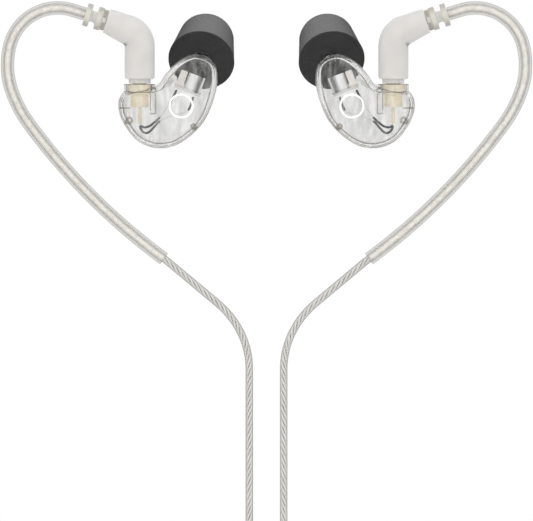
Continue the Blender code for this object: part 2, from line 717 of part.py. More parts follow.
def make_splitter(centre, materials):
    right_edge = [(half, height) for height, half in SPLITTER_HALF_WIDTHS]
    outline = right_edge + [(-half, height) for half, height in reversed(right_edge)]
    half_depth = SPLITTER_DEPTH / 2
    faces = [[Vector((x, y, z)) for x, z in outline] for y in (-half_depth, half_depth)]
    splitter = make_object("splitter", loft(faces), materials["frosted_plastic"], centre)
    bevel_edges(splitter, SPLITTER_BEVEL)
    for name, x in (("splitter_bore_right", -STRAND_X), ("splitter_bore_left", STRAND_X)):
        bore = disc(CABLE_RADIUS + FIT_GAP, SPLITTER_SOCKET_Z, CUT_BEYOND, 12)
        combine(splitter, "DIFFERENCE", make_cutter(name, bore, centre, (x, 0, 0)))
    lead_bore = disc(LEAD_BORE, -CUT_BEYOND, -SPLITTER_SOCKET_Z, 12)
    combine(splitter, "DIFFERENCE", make_cutter("splitter_lead_bore", lead_bore, centre))


def make_lead(centre, materials):
    lead = bar([Vector((0, 0, LEAD_TOP_Z)), Vector((0, 0, LEAD_END_Z))], LEAD_RADIUS, 12)
    make_object("main_lead", lead, materials["silver_cable"], centre)
    length = BOOT_TOP_Z - BOOT_BOTTOM_Z
    pitch = length / BOOT_RIBS
    profile = [(LEAD_BORE, BOOT_BOTTOM_Z)]
    for k in range(BOOT_RIBS):
        radius = BOOT_BOTTOM_RADIUS + (BOOT_TOP_RADIUS - BOOT_BOTTOM_RADIUS) * k / (BOOT_RIBS - 1)
        base = BOOT_BOTTOM_Z + pitch * k
        rib_top = base + pitch * BOOT_RIB_SHARE
        profile += [(radius, base), (radius, rib_top)]
        if k < BOOT_RIBS - 1:
            profile += [(radius - BOOT_GROOVE, rib_top), (radius - BOOT_GROOVE, base + pitch)]
    profile.append((LEAD_BORE, profile[-1][1]))
    make_object("plug_boot", turned(profile, 14, closed=True), materials["relief_rubber"], centre)


def make_plug_housing(centre, materials):
    half = HOUSING_LENGTH / 2
    shaft = Vector((1, 0, 0))
    place = (0, 0, HOUSING_Z)
    barrel = turned((
        (0, -half), (HOUSING_RADIUS - HOUSING_EDGE, -half), (HOUSING_RADIUS, -half + HOUSING_EDGE),
        (HOUSING_RADIUS, half - HOUSING_EDGE), (HOUSING_RADIUS - HOUSING_EDGE, half), (0, half),
    ), 20)
    housing = make_object("plug_housing", barrel, materials["frosted_plastic"], centre, place, shaft)
    neck = disc(HOUSING_NECK_RADIUS, 0, HOUSING_NECK_TOP_Z - HOUSING_Z, 16)
    combine(housing, "UNION", make_cutter("housing_neck", neck, centre, place))
    lead_bore = disc(LEAD_BORE, LEAD_END_Z - 2 * FIT_GAP, HOUSING_NECK_TOP_Z + 1, 12)
    combine(housing, "DIFFERENCE", make_cutter("housing_lead_bore", lead_bore, centre))
    plug_bore = disc(JACK_PIN_RADIUS + FIT_GAP, half - PLUG_SOCKET_DEPTH, half + 1)
    combine(housing, "DIFFERENCE", make_cutter("housing_plug_bore", plug_bore, centre, place, shaft))
    shoulder = (half, 0, HOUSING_Z)
    core = JACK_CORE_RADIUS + FIT_GAP
    sleeve = annulus(core, JACK_PIN_RADIUS, *SLEEVE_SPAN)
    make_object("plug_sleeve", sleeve, materials["gold"], centre, shoulder, shaft)
    ring = annulus(core, JACK_PIN_RADIUS, RING_SPAN[0] + FIT_GAP, RING_SPAN[1] - FIT_GAP)
    make_object("plug_ring", ring, materials["gold"], centre, shoulder, shaft)
    profile = [(JACK_ROD_RADIUS + FIT_GAP, SLEEVE_SPAN[0]), (JACK_CORE_RADIUS, SLEEVE_SPAN[0])]
    for low, high in BAND_SPANS:
        profile += [
            (JACK_CORE_RADIUS, low + FIT_GAP), (JACK_BAND_RADIUS, low + FIT_GAP),
            (JACK_BAND_RADIUS, high - FIT_GAP), (JACK_CORE_RADIUS, high - FIT_GAP),
        ]
    profile[-1] = (JACK_ROD_RADIUS + FIT_GAP, BAND_SPANS[1][1] - FIT_GAP)
    insulator = turned(profile, 16, closed=True)
    make_object("plug_core_insulator", insulator, materials["dielectric"], centre, shoulder, shaft)
    tip = [(0, SLEEVE_SPAN[0]), (JACK_ROD_RADIUS, SLEEVE_SPAN[0]), (JACK_ROD_RADIUS, TIP_PROFILE[0][1])]
    tip += list(TIP_PROFILE) + [(0, TIP_PROFILE[-1][1])]
    make_object("plug_tip", turned(tip, 20), materials["gold"], centre, shoulder, shaft)


def main():
    clear_scene()
    materials = {name: make_material(name) for name in COLOURS}
    make_side("right", False, materials)
    make_side("left", True, materials)
    centre = make_empty("cable_centre", (0, CABLE_PLANE_Y, 0))
    make_slider(centre, materials)
    make_splitter(centre, materials)
    make_lead(centre, materials)
    make_plug_housing(centre, materials)


main()
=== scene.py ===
"""Looks of the in ear monitors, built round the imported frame.

Pieces are drawn in millimetres and placed with a matrix. Each earpiece has its own frame with its
origin at the mouth of the cable socket: u runs to the wearer's front, y to the ear and w up. The
left side is the mirror image of the right side.
"""

import json
from collections import namedtuple
from math import atan2, ceil, cos, pi, radians, sin, sqrt, tau

import bmesh
import bpy
from mathutils import Matrix, Vector, noise
from mathutils.bvhtree import BVHTree


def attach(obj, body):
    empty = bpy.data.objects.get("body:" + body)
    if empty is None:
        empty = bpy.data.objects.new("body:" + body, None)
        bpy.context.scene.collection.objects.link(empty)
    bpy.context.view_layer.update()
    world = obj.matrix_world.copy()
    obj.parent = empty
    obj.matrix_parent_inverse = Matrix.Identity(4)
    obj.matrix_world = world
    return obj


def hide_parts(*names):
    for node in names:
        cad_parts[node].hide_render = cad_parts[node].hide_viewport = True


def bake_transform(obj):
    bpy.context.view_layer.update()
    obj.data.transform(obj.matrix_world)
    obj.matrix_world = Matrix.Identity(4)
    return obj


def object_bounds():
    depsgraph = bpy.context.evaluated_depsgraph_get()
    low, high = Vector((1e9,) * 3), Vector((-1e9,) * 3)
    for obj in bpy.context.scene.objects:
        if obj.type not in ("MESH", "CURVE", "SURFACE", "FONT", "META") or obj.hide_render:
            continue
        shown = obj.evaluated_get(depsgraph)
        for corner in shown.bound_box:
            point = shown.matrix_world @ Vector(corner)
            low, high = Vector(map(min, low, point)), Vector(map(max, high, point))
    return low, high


MM = 0.001
UP = Vector((0, 0, 1))
DEPTH = Vector((0, 1, 0))

SHARP_ANGLE = 35            # edges turned by more than this are drawn sharp, in degrees
FIT_GAP = 0.05

# Earpiece shell
SHELL_OUTLINE = (           # parting line, clockwise from the front of the collar
    (3.3, -0.4), (5.3, 2.2), (8.1, 4.9), (11.3, 6.1), (14.3, 5.0),
    (15.56, 2.4), (15.06, -2.4), (12.74, -7.66), (8.54, -11.6), (4.1, -12.9),
    (-0.3, -11.5), (-3.4, -7.6), (-4.3, -4.0), (-3.1, -1.4), (0.0, -0.4),
)
SHELL_SPAN_POINTS = 6
SHELL_SPINE = (Vector((3.5, 0, -6.0)), Vector((11.0, 0, 1.0)))
SHELL_CENTRE = (5.6, -3.5)
SHELL_WALL = 0.7
PARTING_GAP = 0.03
FACE_EDGE_DEPTH = 3.4
FACE_CROWN = 0.6
FACE_EDGE_SHARE = 0.28
FACE_CAP_SHARE = 0.96
FACE_EDGE_STEPS = 8
FACE_CROWN_STEPS = 5
REAR_STEPS = 14
REAR_STEP_GROWTH = 1.4
REAR_DRAFT = 0.3
REAR_PULLS = ((3.0, 0.22), (1.5, 0.2))                 # at the rim and the nozzle: base, share of reach
LIP_INSET = (0.74, 0.9)     # tongue of the faceplate that reaches into the rear shell
LIP_SPAN = (-0.8, 0.5)
LIP_GAP_RADIUS = 3.3        # round the socket
LIP_GAP_SPAN = (-5.5, 1.0)
RIB_SPAN = (-2.95, -0.3)
RIBS = (                    # width, height, u, w: a ledge, then a pocket beside the socket
    (2.0, 0.28, -2.85, -4.8), (0.28, 3.4, 2.15, -3.6), (0.28, 4.1, 3.2, -3.9), (1.3, 0.28, 2.7, -5.9),
)
PEGS = ((-2.0, -7.24, 0.72), (10.78, -8.5, 0.62))       # u, w, radius
PEG_BORE_SHARE = 0.45
HALF_SPACE = 60.0           # side of the blocks that part the two halves
HALF_DEPTH = HALF_SPACE / 2 + PARTING_GAP

# Nozzle and ear tip
TIP_BASE = Vector((12.29, 8.0, 4.72))
NOZZLE_RADIUS = 1.7
NOZZLE_ROOT = -0.8
NOZZLE_END = 4.7
NOZZLE_BORE = 1.0
NOZZLE_BORE_DEPTH = 2.0     # from the end down to the hollow of the shell
FILTER = (0.95, 4.0, 4.4)   # radius, low, high
CORE_RADIUS = 2.3
CORE_LENGTH = 11.0
FOAM_BASE_RADIUS = 6.7
FOAM_EDGE = 0.35
FOAM_SHOULDER_RADIUS = 5.56
FOAM_SHOULDER = 9.06
FOAM_APEX = 14.05           # where the crown would meet the axis
FOAM_CROWN_POWER = 1.54     # 2 would be an ellipse, 1 a cone
FOAM_STEPS = (12, 6, 32, 40)                            # base and bore, rim, flank, crown
FOAM_SINK = 0.03
FOAM_LUMPS = ((0.04, 0.5), (0.025, 2.6))                # height, waves per millimetre
FOAM_BORE_SKIN = 0.2        # the lumps stay this far from the bore

# Socket in the shell
COLLAR_RADIUS = 3.1
COLLAR_DEPTH = 1.8
COLLAR_BORE_SPAN = (-2.2, 1)
COLLAR_HOOPS = (2.4, 3.06)
COLLAR_EDGE = 0.12          # width of the hoops and posts drawn in the collar as painted shade along its edges
COLLAR_SKIN = 0.04          # clear wall over them
JACK_HEAD_RADIUS = 2.2
CLIP_SECTION = (2.08, 2.25, -0.08, 0.08)                # inner and outer radius, low, high
CLIP_HEIGHT = -1.62
CLIP_AXIS = Vector((-0.16, 0, 1)).normalized()
WIRE_RADIUS = 0.24
LITZ_RADIUS = 0.07          # bare middle of a wire, between its two sleeves
LITZ_OVERLAP = (0.6, 0.4)   # how far it reaches into them
SLEEVE_END = 4.1            # u where the first sleeve ends
SLEEVE_END_SHARE = 0.8
WIRES = (                   # name, u where the second sleeve starts, path
    ("signal_wire", 5.9, (
        (0.1, 0.3, -8.24), (0.9, 0.3, -8.64), (1.9, 0.35, -8.42), (2.7, 0.4, -7.84),
        (4.06, 0.5, -6.6), (5.9, 0.6, -4.06), (7.4, 0.6, -1.15),
    )),
    ("ground_wire", 9.5, (
        (0.1, -0.3, -8.36), (0.3, -0.3, -9.0), (0.74, -0.3, -9.56), (1.4, -0.3, -9.78),
        (2.06, -0.28, -9.44), (2.74, -0.25, -8.74), (4.06, -0.1, -7.4), (6.6, 0.2, -6.2),
        (9.5, 0.6, -5.4), (10.75, 0.6, -2.55),
    )),
)

# Drivers
BLOCK_CENTRE = Vector((10.19, 0.6, 0.41))
BLOCK_AXIS = Vector((0.36, 0, 0.93)).normalized()
CAN_RADIUS = 1.75
CAN_OFFSET = 0.8
CAN_PROFILE = (             # radius, height
    (0, -1.7), (1.75, -1.7), (1.75, 1.28), (1.7, 1.34), (1.75, 1.4), (1.75, 1.7), (1.6, 1.7),
    (1.6, -1.55), (0, -1.55),
)
MAGNET = (1.1, -1.5, -0.25)                             # radius, low, high
DIAPHRAGM_TOP = ((0, 1.05), (0.8, 0.9), (1.2, 0.97), (1.5, 0.85))
DIAPHRAGM_UNDERSIDE = ((1.5, 0.7), (1.2, 0.86), (0.8, 0.78), (0, 0.93))
ARMATURE_SIZE = (1.4, 3.4, 3.4)
ARMATURE_OFFSET = -1.85
CASE_SEAM = ((1.43, 3.43, 0.07), (0, 0, 0.35))          # size, centre
TRAY = ((5.5, 3.9, 0.85), (0, 0, -1.675))
TRAY_POCKET = ((5.2, 3.6, 2.0), (0, 0, -0.75))

# Connector: socket in the earpiece, plug on the hook
PLUG_RADIUS = 1.45
PLUG_TOP = 3.2
RING_SECTION = ((1.3, -1.83), (1.56, -1.83), (1.56, -1.47), (1.3, -1.47))       # radius, height
RING_OPENING = radians(50)
RING_STEPS = 60
CONNECTOR = (               # name, look, body, CAD node, sides, edge, (radius, height) profile
    ("gold_jack", "gold_contact", "earpiece", "jack_body", 64, 0.07, (
        (1.62, -0.05), (2.2, -0.05), (2.2, -2.04), (1.83, -2.04), (1.83, -2.62), (1.73, -2.7),
        (1.83, -2.78), (1.83, -3.1), (1.73, -3.18), (1.83, -3.26), (1.83, -4.64), (1.62, -4.64),
    )),
    ("gold_contact", "gold_contact", "earpiece", "jack_contact", 32, 0.06, (
        (0, -7.94), (0.37, -7.94), (0.37, -4.64), (0.45, -4.64), (0.45, -1.2), (0.25, -1.2),
        (0.25, -3.0), (0, -3.0),
    )),
    ("jack_spacer", "dielectric", "earpiece", "jack_insulator", 64, 0.08, (
        (0.5, -4.64), (1.57, -4.64), (1.57, -3.2), (0.5, -3.2),
    )),
    ("gold_barrel", "gold_contact", "hook", "plug_barrel", 64, 0.08, (
        (1.05, 3.2), (1.05, -2.9), (1.45, -2.9), (1.45, -1.9), (1.25, -1.9), (1.25, -1.4),
        (1.45, -1.4), (1.45, 3.2),
    )),
    ("plug_spacer", "dielectric", "hook", "plug_insulator", 64, 0.08, (
        (0.25, 0.3), (1.0, 0.3), (1.0, 2.6), (0.25, 2.6),
    )),
    ("gold_pin", "gold_contact", "hook", "plug_pin", 32, 0.15, (
        (0, -2.4), (0.2, -2.4), (0.2, 3.0), (0, 3.0),
    )),
)

# Elbow, strain relief and hook
ELBOW_RADIUS = 3.0
ELBOW_NECK_RADIUS = 2.2
ELBOW_NECK_TOP = 1.0
ELBOW_FOOT = 0.1
ELBOW_SHOULDER = (0.25, 0.4)                            # across, along
ELBOW_BODY_START = 1.9
ELBOW_STEP = 0.35
ELBOW_MOUTH = 0.3
ELBOW_CORNER = 7.64
ELBOW_BEND = ((3.35, 66.5),)
ELBOW_ARM = ((4.0,), (8.4, 6.0), (0.1,))
ELBOW_END_RADIUS = 2.46
RELIEF_HEADING = 162.5
RELIEF_PROFILE = (          # radius, distance from the elbow's end
    (0.85, 0.05), (2.1, 0.05), (2.1, 1.0), (2.33, 1.0), (2.33, 2.12), (1.35, 2.12),
    (1.1, 2.6), (1.1, 2.95), (1.25, 3.36), (2.33, 3.36), (2.33, 4.46), (0.85, 4.46),
)
RELIEF_SLOTS = 4
RELIEF_SLOT_SIZE = (0.7, 2.1, 0.55)
RELIEF_SLOT_PLACE = (2.1, 0, 0.52)
WAIST_RADII = (0.9, 1.4)
WAIST_SHADE = 0.8
TUBE_START = 4.55
HOOK_LEGS = ((7.1,), (9.9, 93.0), (15.9, 33.8), (25.4, 17.1), (126.4, 17.3))
TUBE_RADIUS = 1.35
TUBE_BORE = 0.95
CABLE_RADIUS = 0.75
CABLE_BORE = 0.85
FLEX_REACH = 1.0
STRAND_HEADING = -39.9
STRAND_ARCS = ((18.4, -21.0), (16.5, -29.1))
STRAND_X = 3.44
STRAND_END_Z = 2.2
JACKET_SHORT = 0.2          # the inner jacket ends this far inside the hook tube
JACKET_SKIP = 3             # points of the elbow's arm before the jacket starts
CABLE_OVERLAP = 0.5         # of the twisted cable and the jacket
STRANDS = 4
STRAND_RADIUS = 0.25
STRAND_ORBIT = 0.42
STRAND_PITCH = 5.8
# grey filler in the twisted cable, painted shade in the gaps between the strands
CORE_FILL_RADIUS = 0.24
PATH_STEP = 0.5

# Slider, splitter, main lead and 3.5 mm plug, from the middle of the pair
SLIDER_SIZE = (10.4, 4.4, 9.0)
SLIDER_Z = 15.1
SLIDER_BEVEL = 1.4
GRIP_HEIGHTS = (-1.5, 0.0, 1.5)
GRIP_RADIUS = 0.45
GRIP_DEPTH = 0.28
SPLITTER_DEPTH = 4.4
SPLITTER_HALF_WIDTHS = ((7.0, 5.3), (1.0, 5.3), (-7.0, 2.4))    # height, half width
SPLITTER_BEVEL = 0.8
SPLITTER_SOCKET_Z = 1.8
SEAM_WIDTH = 0.1
SEAM_SHARES = (0.975, 1.05)                             # seam's floor and its cutter over the outline
CUT_BEYOND = 8.0
LEAD_RADIUS = 1.0
LEAD_BORE = 1.05
LEAD_SPAN = (-2.2, -24.7)
BOOT_SPAN = (-22.5, -16.6)
BOOT_RADII = (2.2, 1.5)
BOOT_RIBS = 3
BOOT_RIB_SHARE = 0.62
BOOT_GROOVE = 0.4
HOUSING_Z = -27.0
HOUSING_RADIUS = 3.9
HOUSING_LENGTH = 9.0
HOUSING_EDGE = 0.6
HOUSING_NECK_RADIUS = 2.4
HOUSING_NECK_HEIGHT = 4.4
HOUSING_GRIPS = (-2.6, -1.9, 1.9, 2.6)
HOUSING_GRIP_DEPTH = 0.15
HOUSING_GRIP_HALF = 0.12
PLUG_SOCKET_DEPTH = 4.0
JACK_PIN_RADIUS = 1.75
PLUG = (                    # name, look, CAD node, edge, (radius, distance from the shoulder) profile
    ("gold_sleeve", "gold_contact", "plug_sleeve", 0.08, (
        (1.25, -3.0), (1.75, -3.0), (1.75, 5.8), (1.25, 5.8),
    )),
    ("gold_ring", "gold_contact", "plug_ring", 0.08, (
        (1.25, 6.55), (1.75, 6.55), (1.75, 8.65), (1.25, 8.65),
    )),
    ("insulating_bands", "dielectric", "plug_core_insulator", 0.04, (
        (0.65, -3.0), (1.2, -3.0), (1.2, 5.85), (1.7, 5.85), (1.7, 6.45), (1.2, 6.45),
        (1.2, 8.75), (1.7, 8.75), (1.7, 9.35), (0.65, 9.35),
    )),
    ("gold_tip", "gold_contact", "plug_tip", 0.25, (
        (0, -3.0), (0.6, -3.0), (0.6, 9.45), (1.75, 9.45), (1.75, 10.3), (1.3, 10.9), (1.3, 11.2),
        (1.75, 12.0), (1.5, 13.2), (0.5, 14.0), (0, 14.0),
    )),
)

# Printed mark on the faceplate: a plain ring
MARK_CENTRE = (8.3, -4.4)
MARK_RADIUS = 2.3
MARK_STEPS = 96
MARK_SECTION = ((-0.18, 0.01), (0.18, 0.01), (0.144, 0.06), (-0.144, 0.06))     # across, height

# Picture
VIEW_MARGIN = 1.004         # width of the picture over the width of the object
VIEW_TOP_MARGIN = 0.35 * MM
VIEW_DISTANCE = 5.0         # a long lens, so that depth hardly changes the scale
PICTURE_ASPECT = 521 / 533
SENSOR_WIDTH = 36.0
FLOOR_RADIUS = 0.16         # in metres, like the drop below the object
FLOOR_DROP = 0.004


# ---------------------------------------------------------------- mesh helpers

def to_mesh(bm, name):
    mesh = bpy.data.meshes.new(name)
    bm.to_mesh(mesh)
    bm.free()
    return mesh


def new_object(name, data):
    obj = bpy.data.objects.new(name, data)
    bpy.context.scene.collection.objects.link(obj)
    return obj


def bridge(bm, ring, following):
    for i, vert in enumerate(ring):
        before = i - 1
        bm.faces.new((ring[before], vert, following[i], following[before]))


def loft(rings, bore=None, closed=False):
    """Close a stack of rings into a bar, a pipe round `bore`, or a closed hoop."""
    bm = bmesh.new()
    stacks = [rings] if bore is None else [rings, bore]
    skins = [[[bm.verts.new(point) for point in ring] for ring in stack] for stack in stacks]
    for skin in skins:
        for ring, following in zip(skin, skin[1:]):
            bridge(bm, ring, following)
        if closed:
            bridge(bm, skin[-1], skin[0])
    if not closed:
        for end in (0, -1):
            if bore is None:
                bm.faces.new(skins[0][end])
            else:
                bridge(bm, skins[0][end], skins[1][end])
    bmesh.ops.recalc_face_normals(bm, faces=bm.faces)
    return bm


def rounded(profile, radius, closed=False, steps=4):
    """Round the corners of a two-number profile."""
    points = [Vector(point) for point in profile]
    count = len(points)
    smooth = []
    for i, corner in enumerate(points):
        if not closed and i in (0, count - 1):
            smooth.append(corner)
            continue
        before, after = points[i - 1], points[(i + 1) % count]
        cut = min(radius, 0.45 * (before - corner).length, 0.45 * (after - corner).length)
        start = corner + (before - corner).normalized() * cut
        end = corner + (after - corner).normalized() * cut
        for k in range(steps + 1):
            t = k / steps
            smooth.append(start * (1 - t) ** 2 + corner * 2 * t * (1 - t) + end * t ** 2)
    return [tuple(point) for point in smooth]


def turned(profile, sides=64, closed=False):
    """Turn a (radius, height) profile round Z."""
    bm = bmesh.new()
    verts = [bm.verts.new((radius, 0, height)) for radius, height in profile]
    edges = [bm.edges.new(pair) for pair in zip(verts, verts[1:])]
    if closed:
        edges.append(bm.edges.new((verts[-1], verts[0])))
    bmesh.ops.spin(
        bm, geom=verts + edges, cent=(0, 0, 0), axis=(0, 0, 1), angle=tau, steps=sides, use_merge=True
    )
    bmesh.ops.remove_doubles(bm, verts=bm.verts, dist=1e-5)
    bmesh.ops.recalc_face_normals(bm, faces=bm.faces)
    return bm


def turned_part(profile, edge, sides=64):
    """Turn a profile with rounded corners; one that stays off the axis closes on itself."""
    closed = profile[0][0] > 0
    return turned(rounded(profile, edge, closed), sides, closed)


def disc(radius, low, high, edge=0.0, sides=64):
    profile = ((0, low), (radius, low), (radius, high), (0, high))
    return turned(rounded(profile, edge) if edge else profile, sides)


def annulus(inner, outer, low, high, edge=0.0, sides=64):
    profile = ((inner, low), (outer, low), (outer, high), (inner, high))
    return turned_part(profile, edge, sides) if edge else turned(profile, sides, closed=True)


def block(size, centre=(0, 0, 0), edge=0.0, segments=3):
    bm = bmesh.new()
    bmesh.ops.create_cube(bm, size=1.0)
    bmesh.ops.scale(bm, verts=bm.verts, vec=size)
    bmesh.ops.translate(bm, verts=bm.verts, vec=centre)
    if edge:
        bmesh.ops.bevel(
            bm, geom=bm.edges[:], offset=edge, segments=segments, profile=0.5, affect="EDGES"
        )
    return bm


def join(*meshes):
    """Put several bmeshes into the first."""
    first = meshes[0]
    for other in meshes[1:]:
        mesh = to_mesh(other, "joined")
        first.from_mesh(mesh)
        bpy.data.meshes.remove(mesh)
    return first


def moved(bm, at=(0, 0, 0), axis=UP):
    """Turn a bmesh so that its Z points along `axis`, then move it."""
    turn = UP.rotation_difference(Vector(axis)).to_matrix().to_4x4()
    bm.transform(Matrix.Translation(Vector(at)) @ turn)
    return bm


def with_modifier(bm, kind, **settings):
    """The bmesh that a modifier makes of `bm`."""
    obj = new_object("work", to_mesh(bm, "work"))
    modifier = obj.modifiers.new("work", kind)
    for key, value in settings.items():
        setattr(modifier, key, value)
    result = bmesh.new()
    result.from_object(obj, bpy.context.evaluated_depsgraph_get())
    bpy.data.objects.remove(obj)
    return result


def boolean(body, operation, *tools):
    """Cut the tools from the body, add them to it or keep what they share, one after the other."""
    for tool in tools:
        obj = new_object("tool", to_mesh(tool, "tool"))
        body = with_modifier(body, "BOOLEAN", operation=operation, solver="EXACT", object=obj)
        bpy.data.objects.remove(obj)
    return body


def circle(centre, radius, side, other, sides):
    angles = [tau * k / sides for k in range(sides)]
    return [centre + radius * (cos(a) * side + sin(a) * other) for a in angles]


def round_rings(path, radii, sides):
    """Circles across a path, carried along it without twisting."""
    rings = []
    side = DEPTH
    last = len(path) - 1
    for i, (point, radius) in enumerate(zip(path, radii)):
        tangent = (path[min(i + 1, last)] - path[max(i - 1, 0)]).normalized()
        side = (side - tangent * side.dot(tangent)).normalized()
        rings.append(circle(point, radius, side, tangent.cross(side), sides))
    return rings


def direction(heading):
    return Vector((cos(radians(heading)), 0, sin(radians(heading))))


def trace(start, heading, legs, step):
    """Follow straight legs and tangent arcs in the cable plane; return the points and heading."""
    points = [Vector(start)]
    for leg in legs:
        if len(leg) == 1:
            count = ceil(leg[0] / step)
            for _ in range(count):
                points.append(points[-1] + direction(heading) * leg[0] / count)
            continue
        radius, turn = leg
        side = 1 if turn > 0 else -1
        centre = points[-1] + direction(heading + 90 * side) * radius
        count = ceil(radius * radians(abs(turn)) / step)
        for _ in range(count):
            heading += turn / count
            points.append(centre - direction(heading + 90 * side) * radius)
    return points, heading


def spline(points, span_points, closed):
    """Catmull-Rom curve through the points."""
    count = len(points)
    curve = []
    for i in range(count if closed else count - 1):
        before = points[i - 1] if closed or i > 0 else points[i]
        start = points[i]
        end = points[(i + 1) % count]
        after = points[(i + 2) % count] if closed or i + 2 < count else end
        for k in range(span_points):
            t = k / span_points
            curve.append(
                (start * 2 + (end - before) * t
                 + (before * 2 - start * 5 + end * 4 - after) * t ** 2
                 + (start * 3 - before - end * 3 + after) * t ** 3) / 2
            )
    if not closed:
        curve.append(points[-1])
    return curve


class Line:
    """A path in the cable plane, read by distance from its start."""

    def __init__(self, points):
        self.points = points
        self.marks = [0.0]
        for a, b in zip(points, points[1:]):
            self.marks.append(self.marks[-1] + (b - a).length)
        self.length = self.marks[-1]

    def at(self, distance):
        """Point and tangent at a distance; the ends run on straight."""
        i = 0
        while i < len(self.marks) - 2 and self.marks[i + 1] < distance:
            i += 1
        a, b = self.points[i], self.points[i + 1]
        tangent = (b - a).normalized()
        return a + tangent * (distance - self.marks[i]), tangent

    def rings(self, profile, sides):
        """Circles at (distance, radius) stations."""
        rings = []
        for distance, radius in profile:
            point, tangent = self.at(distance)
            rings.append(circle(point, radius, DEPTH, tangent.cross(DEPTH), sides))
        return rings


def spaced(start, end, step):
    """Even stations at most `step` apart, with both ends."""
    count = ceil(abs(end - start) / step)
    return [start + (end - start) * k / count for k in range(count + 1)]


def twisted(line, start, strand_radius, orbit, pitch, sides=8):
    """Strands wound round a line, like the lay of a cable."""
    paths = [[] for _ in range(STRANDS)]
    for distance in spaced(start, line.length, pitch / 22):
        point, tangent = line.at(distance)
        other = tangent.cross(DEPTH)
        for strand, path in enumerate(paths):
            angle = tau * (distance / pitch + strand / STRANDS)
            path.append(point + orbit * (cos(angle) * DEPTH + sin(angle) * other))
    return join(*(loft(round_rings(path, [strand_radius] * len(path), sides)) for path in paths))

# ---------------------------------------------------------------- material helpers

def plug_in(tree, socket, value):
    """Link or set a socket; a colour comes without its alpha."""
    if isinstance(value, bpy.types.NodeSocket):
        tree.links.new(value, socket)
    else:
        socket.default_value = (*value, 1.0) if socket.type == "RGBA" else value


def node(tree, kind, inputs=None, **settings):
    made = tree.nodes.new(kind)
    for key, value in settings.items():
        setattr(made, key, value)
    for key, value in (inputs or {}).items():
        plug_in(tree, made.inputs[key], value)
    return made


def feed(tree, shader, **inputs):
    """Set the shader's inputs; underscores stand for spaces."""
    for key, value in inputs.items():
        plug_in(tree, shader.inputs[key.replace("_", " ")], value)


def maths(tree, operation, a, b=0.0):
    return node(tree, "ShaderNodeMath", {0: a, 1: b}, operation=operation).outputs[0]


def place_of(tree, stretch=(1, 1, 1)):
    """Coordinates that stay with the piece when it moves."""
    coordinates = node(tree, "ShaderNodeTexCoord").outputs["Object"]
    return node(tree, "ShaderNodeMapping", {"Vector": coordinates, "Scale": stretch}).outputs[0]


def grain(tree, size, detail=3.0, stretch=(1, 1, 1)):
    """Noise whose grains are about `size` millimetres across."""
    inputs = {"Vector": place_of(tree, stretch), "Scale": 1 / (size * MM), "Detail": detail}
    return node(tree, "ShaderNodeTexNoise", inputs).outputs["Fac"]


def ramp(tree, factor, *stops):
    """Colours along a factor; a stop is (position, colour or grey)."""
    made = node(tree, "ShaderNodeValToRGB", {"Fac": factor})
    elements = made.color_ramp.elements
    while len(elements) < len(stops):
        elements.new(0.5)
    for element, (position, colour) in zip(elements, stops):
        element.position = position
        shade = (colour,) * 3 if isinstance(colour, (int, float)) else colour
        element.color = (*shade, 1.0)
    return made.outputs["Color"]


def mottled(tree, factor, dark, light):
    """Two colours or greys over the middle of a noise's range."""
    return ramp(tree, factor, (0.3, dark), (0.7, light))


def bump(tree, height, depth, strength=1.0, normal=None):
    inputs = {"Height": height, "Distance": depth * MM, "Strength": strength}
    if normal is not None:
        inputs["Normal"] = normal
    return node(tree, "ShaderNodeBump", inputs).outputs[0]


def facing(tree, blend=0.5):
    """0 where the surface faces the eye, 1 at its outline."""
    return node(tree, "ShaderNodeLayerWeight", {"Blend": blend}).outputs["Facing"]


def edges(tree):
    """1 on worn convex edges, 0 elsewhere."""
    point = node(tree, "ShaderNodeNewGeometry").outputs["Pointiness"]
    return ramp(tree, point, (0.52, 0.0), (0.6, 1.0))


def attribute(tree, name):
    return node(tree, "ShaderNodeAttribute", attribute_name=name).outputs["Fac"]


def mix(tree, factor, a, b, **settings):
    return node(tree, "ShaderNodeMix", {0: factor, 6: a, 7: b}, data_type="RGBA", **settings).outputs[2]


def mix_surfaces(tree, share, first, second):
    return node(tree, "ShaderNodeMixShader", {0: share, 1: first, 2: second}).outputs[0]


def see_through(tree, share, clear, milky):
    """Mix a share of a milky surface into a clear one.

    Scattered light passes both straight, so that what is inside stays bright.
    """
    surface = mix_surfaces(tree, share, clear, milky)
    scattered = maths(tree, "MINIMUM", node(tree, "ShaderNodeLightPath").outputs["Diffuse Depth"], 1.0)
    straight = node(tree, "ShaderNodeBsdfTransparent").outputs[0]
    surface = mix_surfaces(tree, scattered, surface, straight)
    tree.links.new(surface, tree.nodes["Material Output"].inputs["Surface"])


def new_material(name, build, *settings):
    """A material whose surface `build` sets up."""
    material = bpy.data.materials.new(name)
    material.use_nodes = True
    build(material.node_tree, material.node_tree.nodes["Principled BSDF"], *settings)
    return material


# ---------------------------------------------------------------- materials

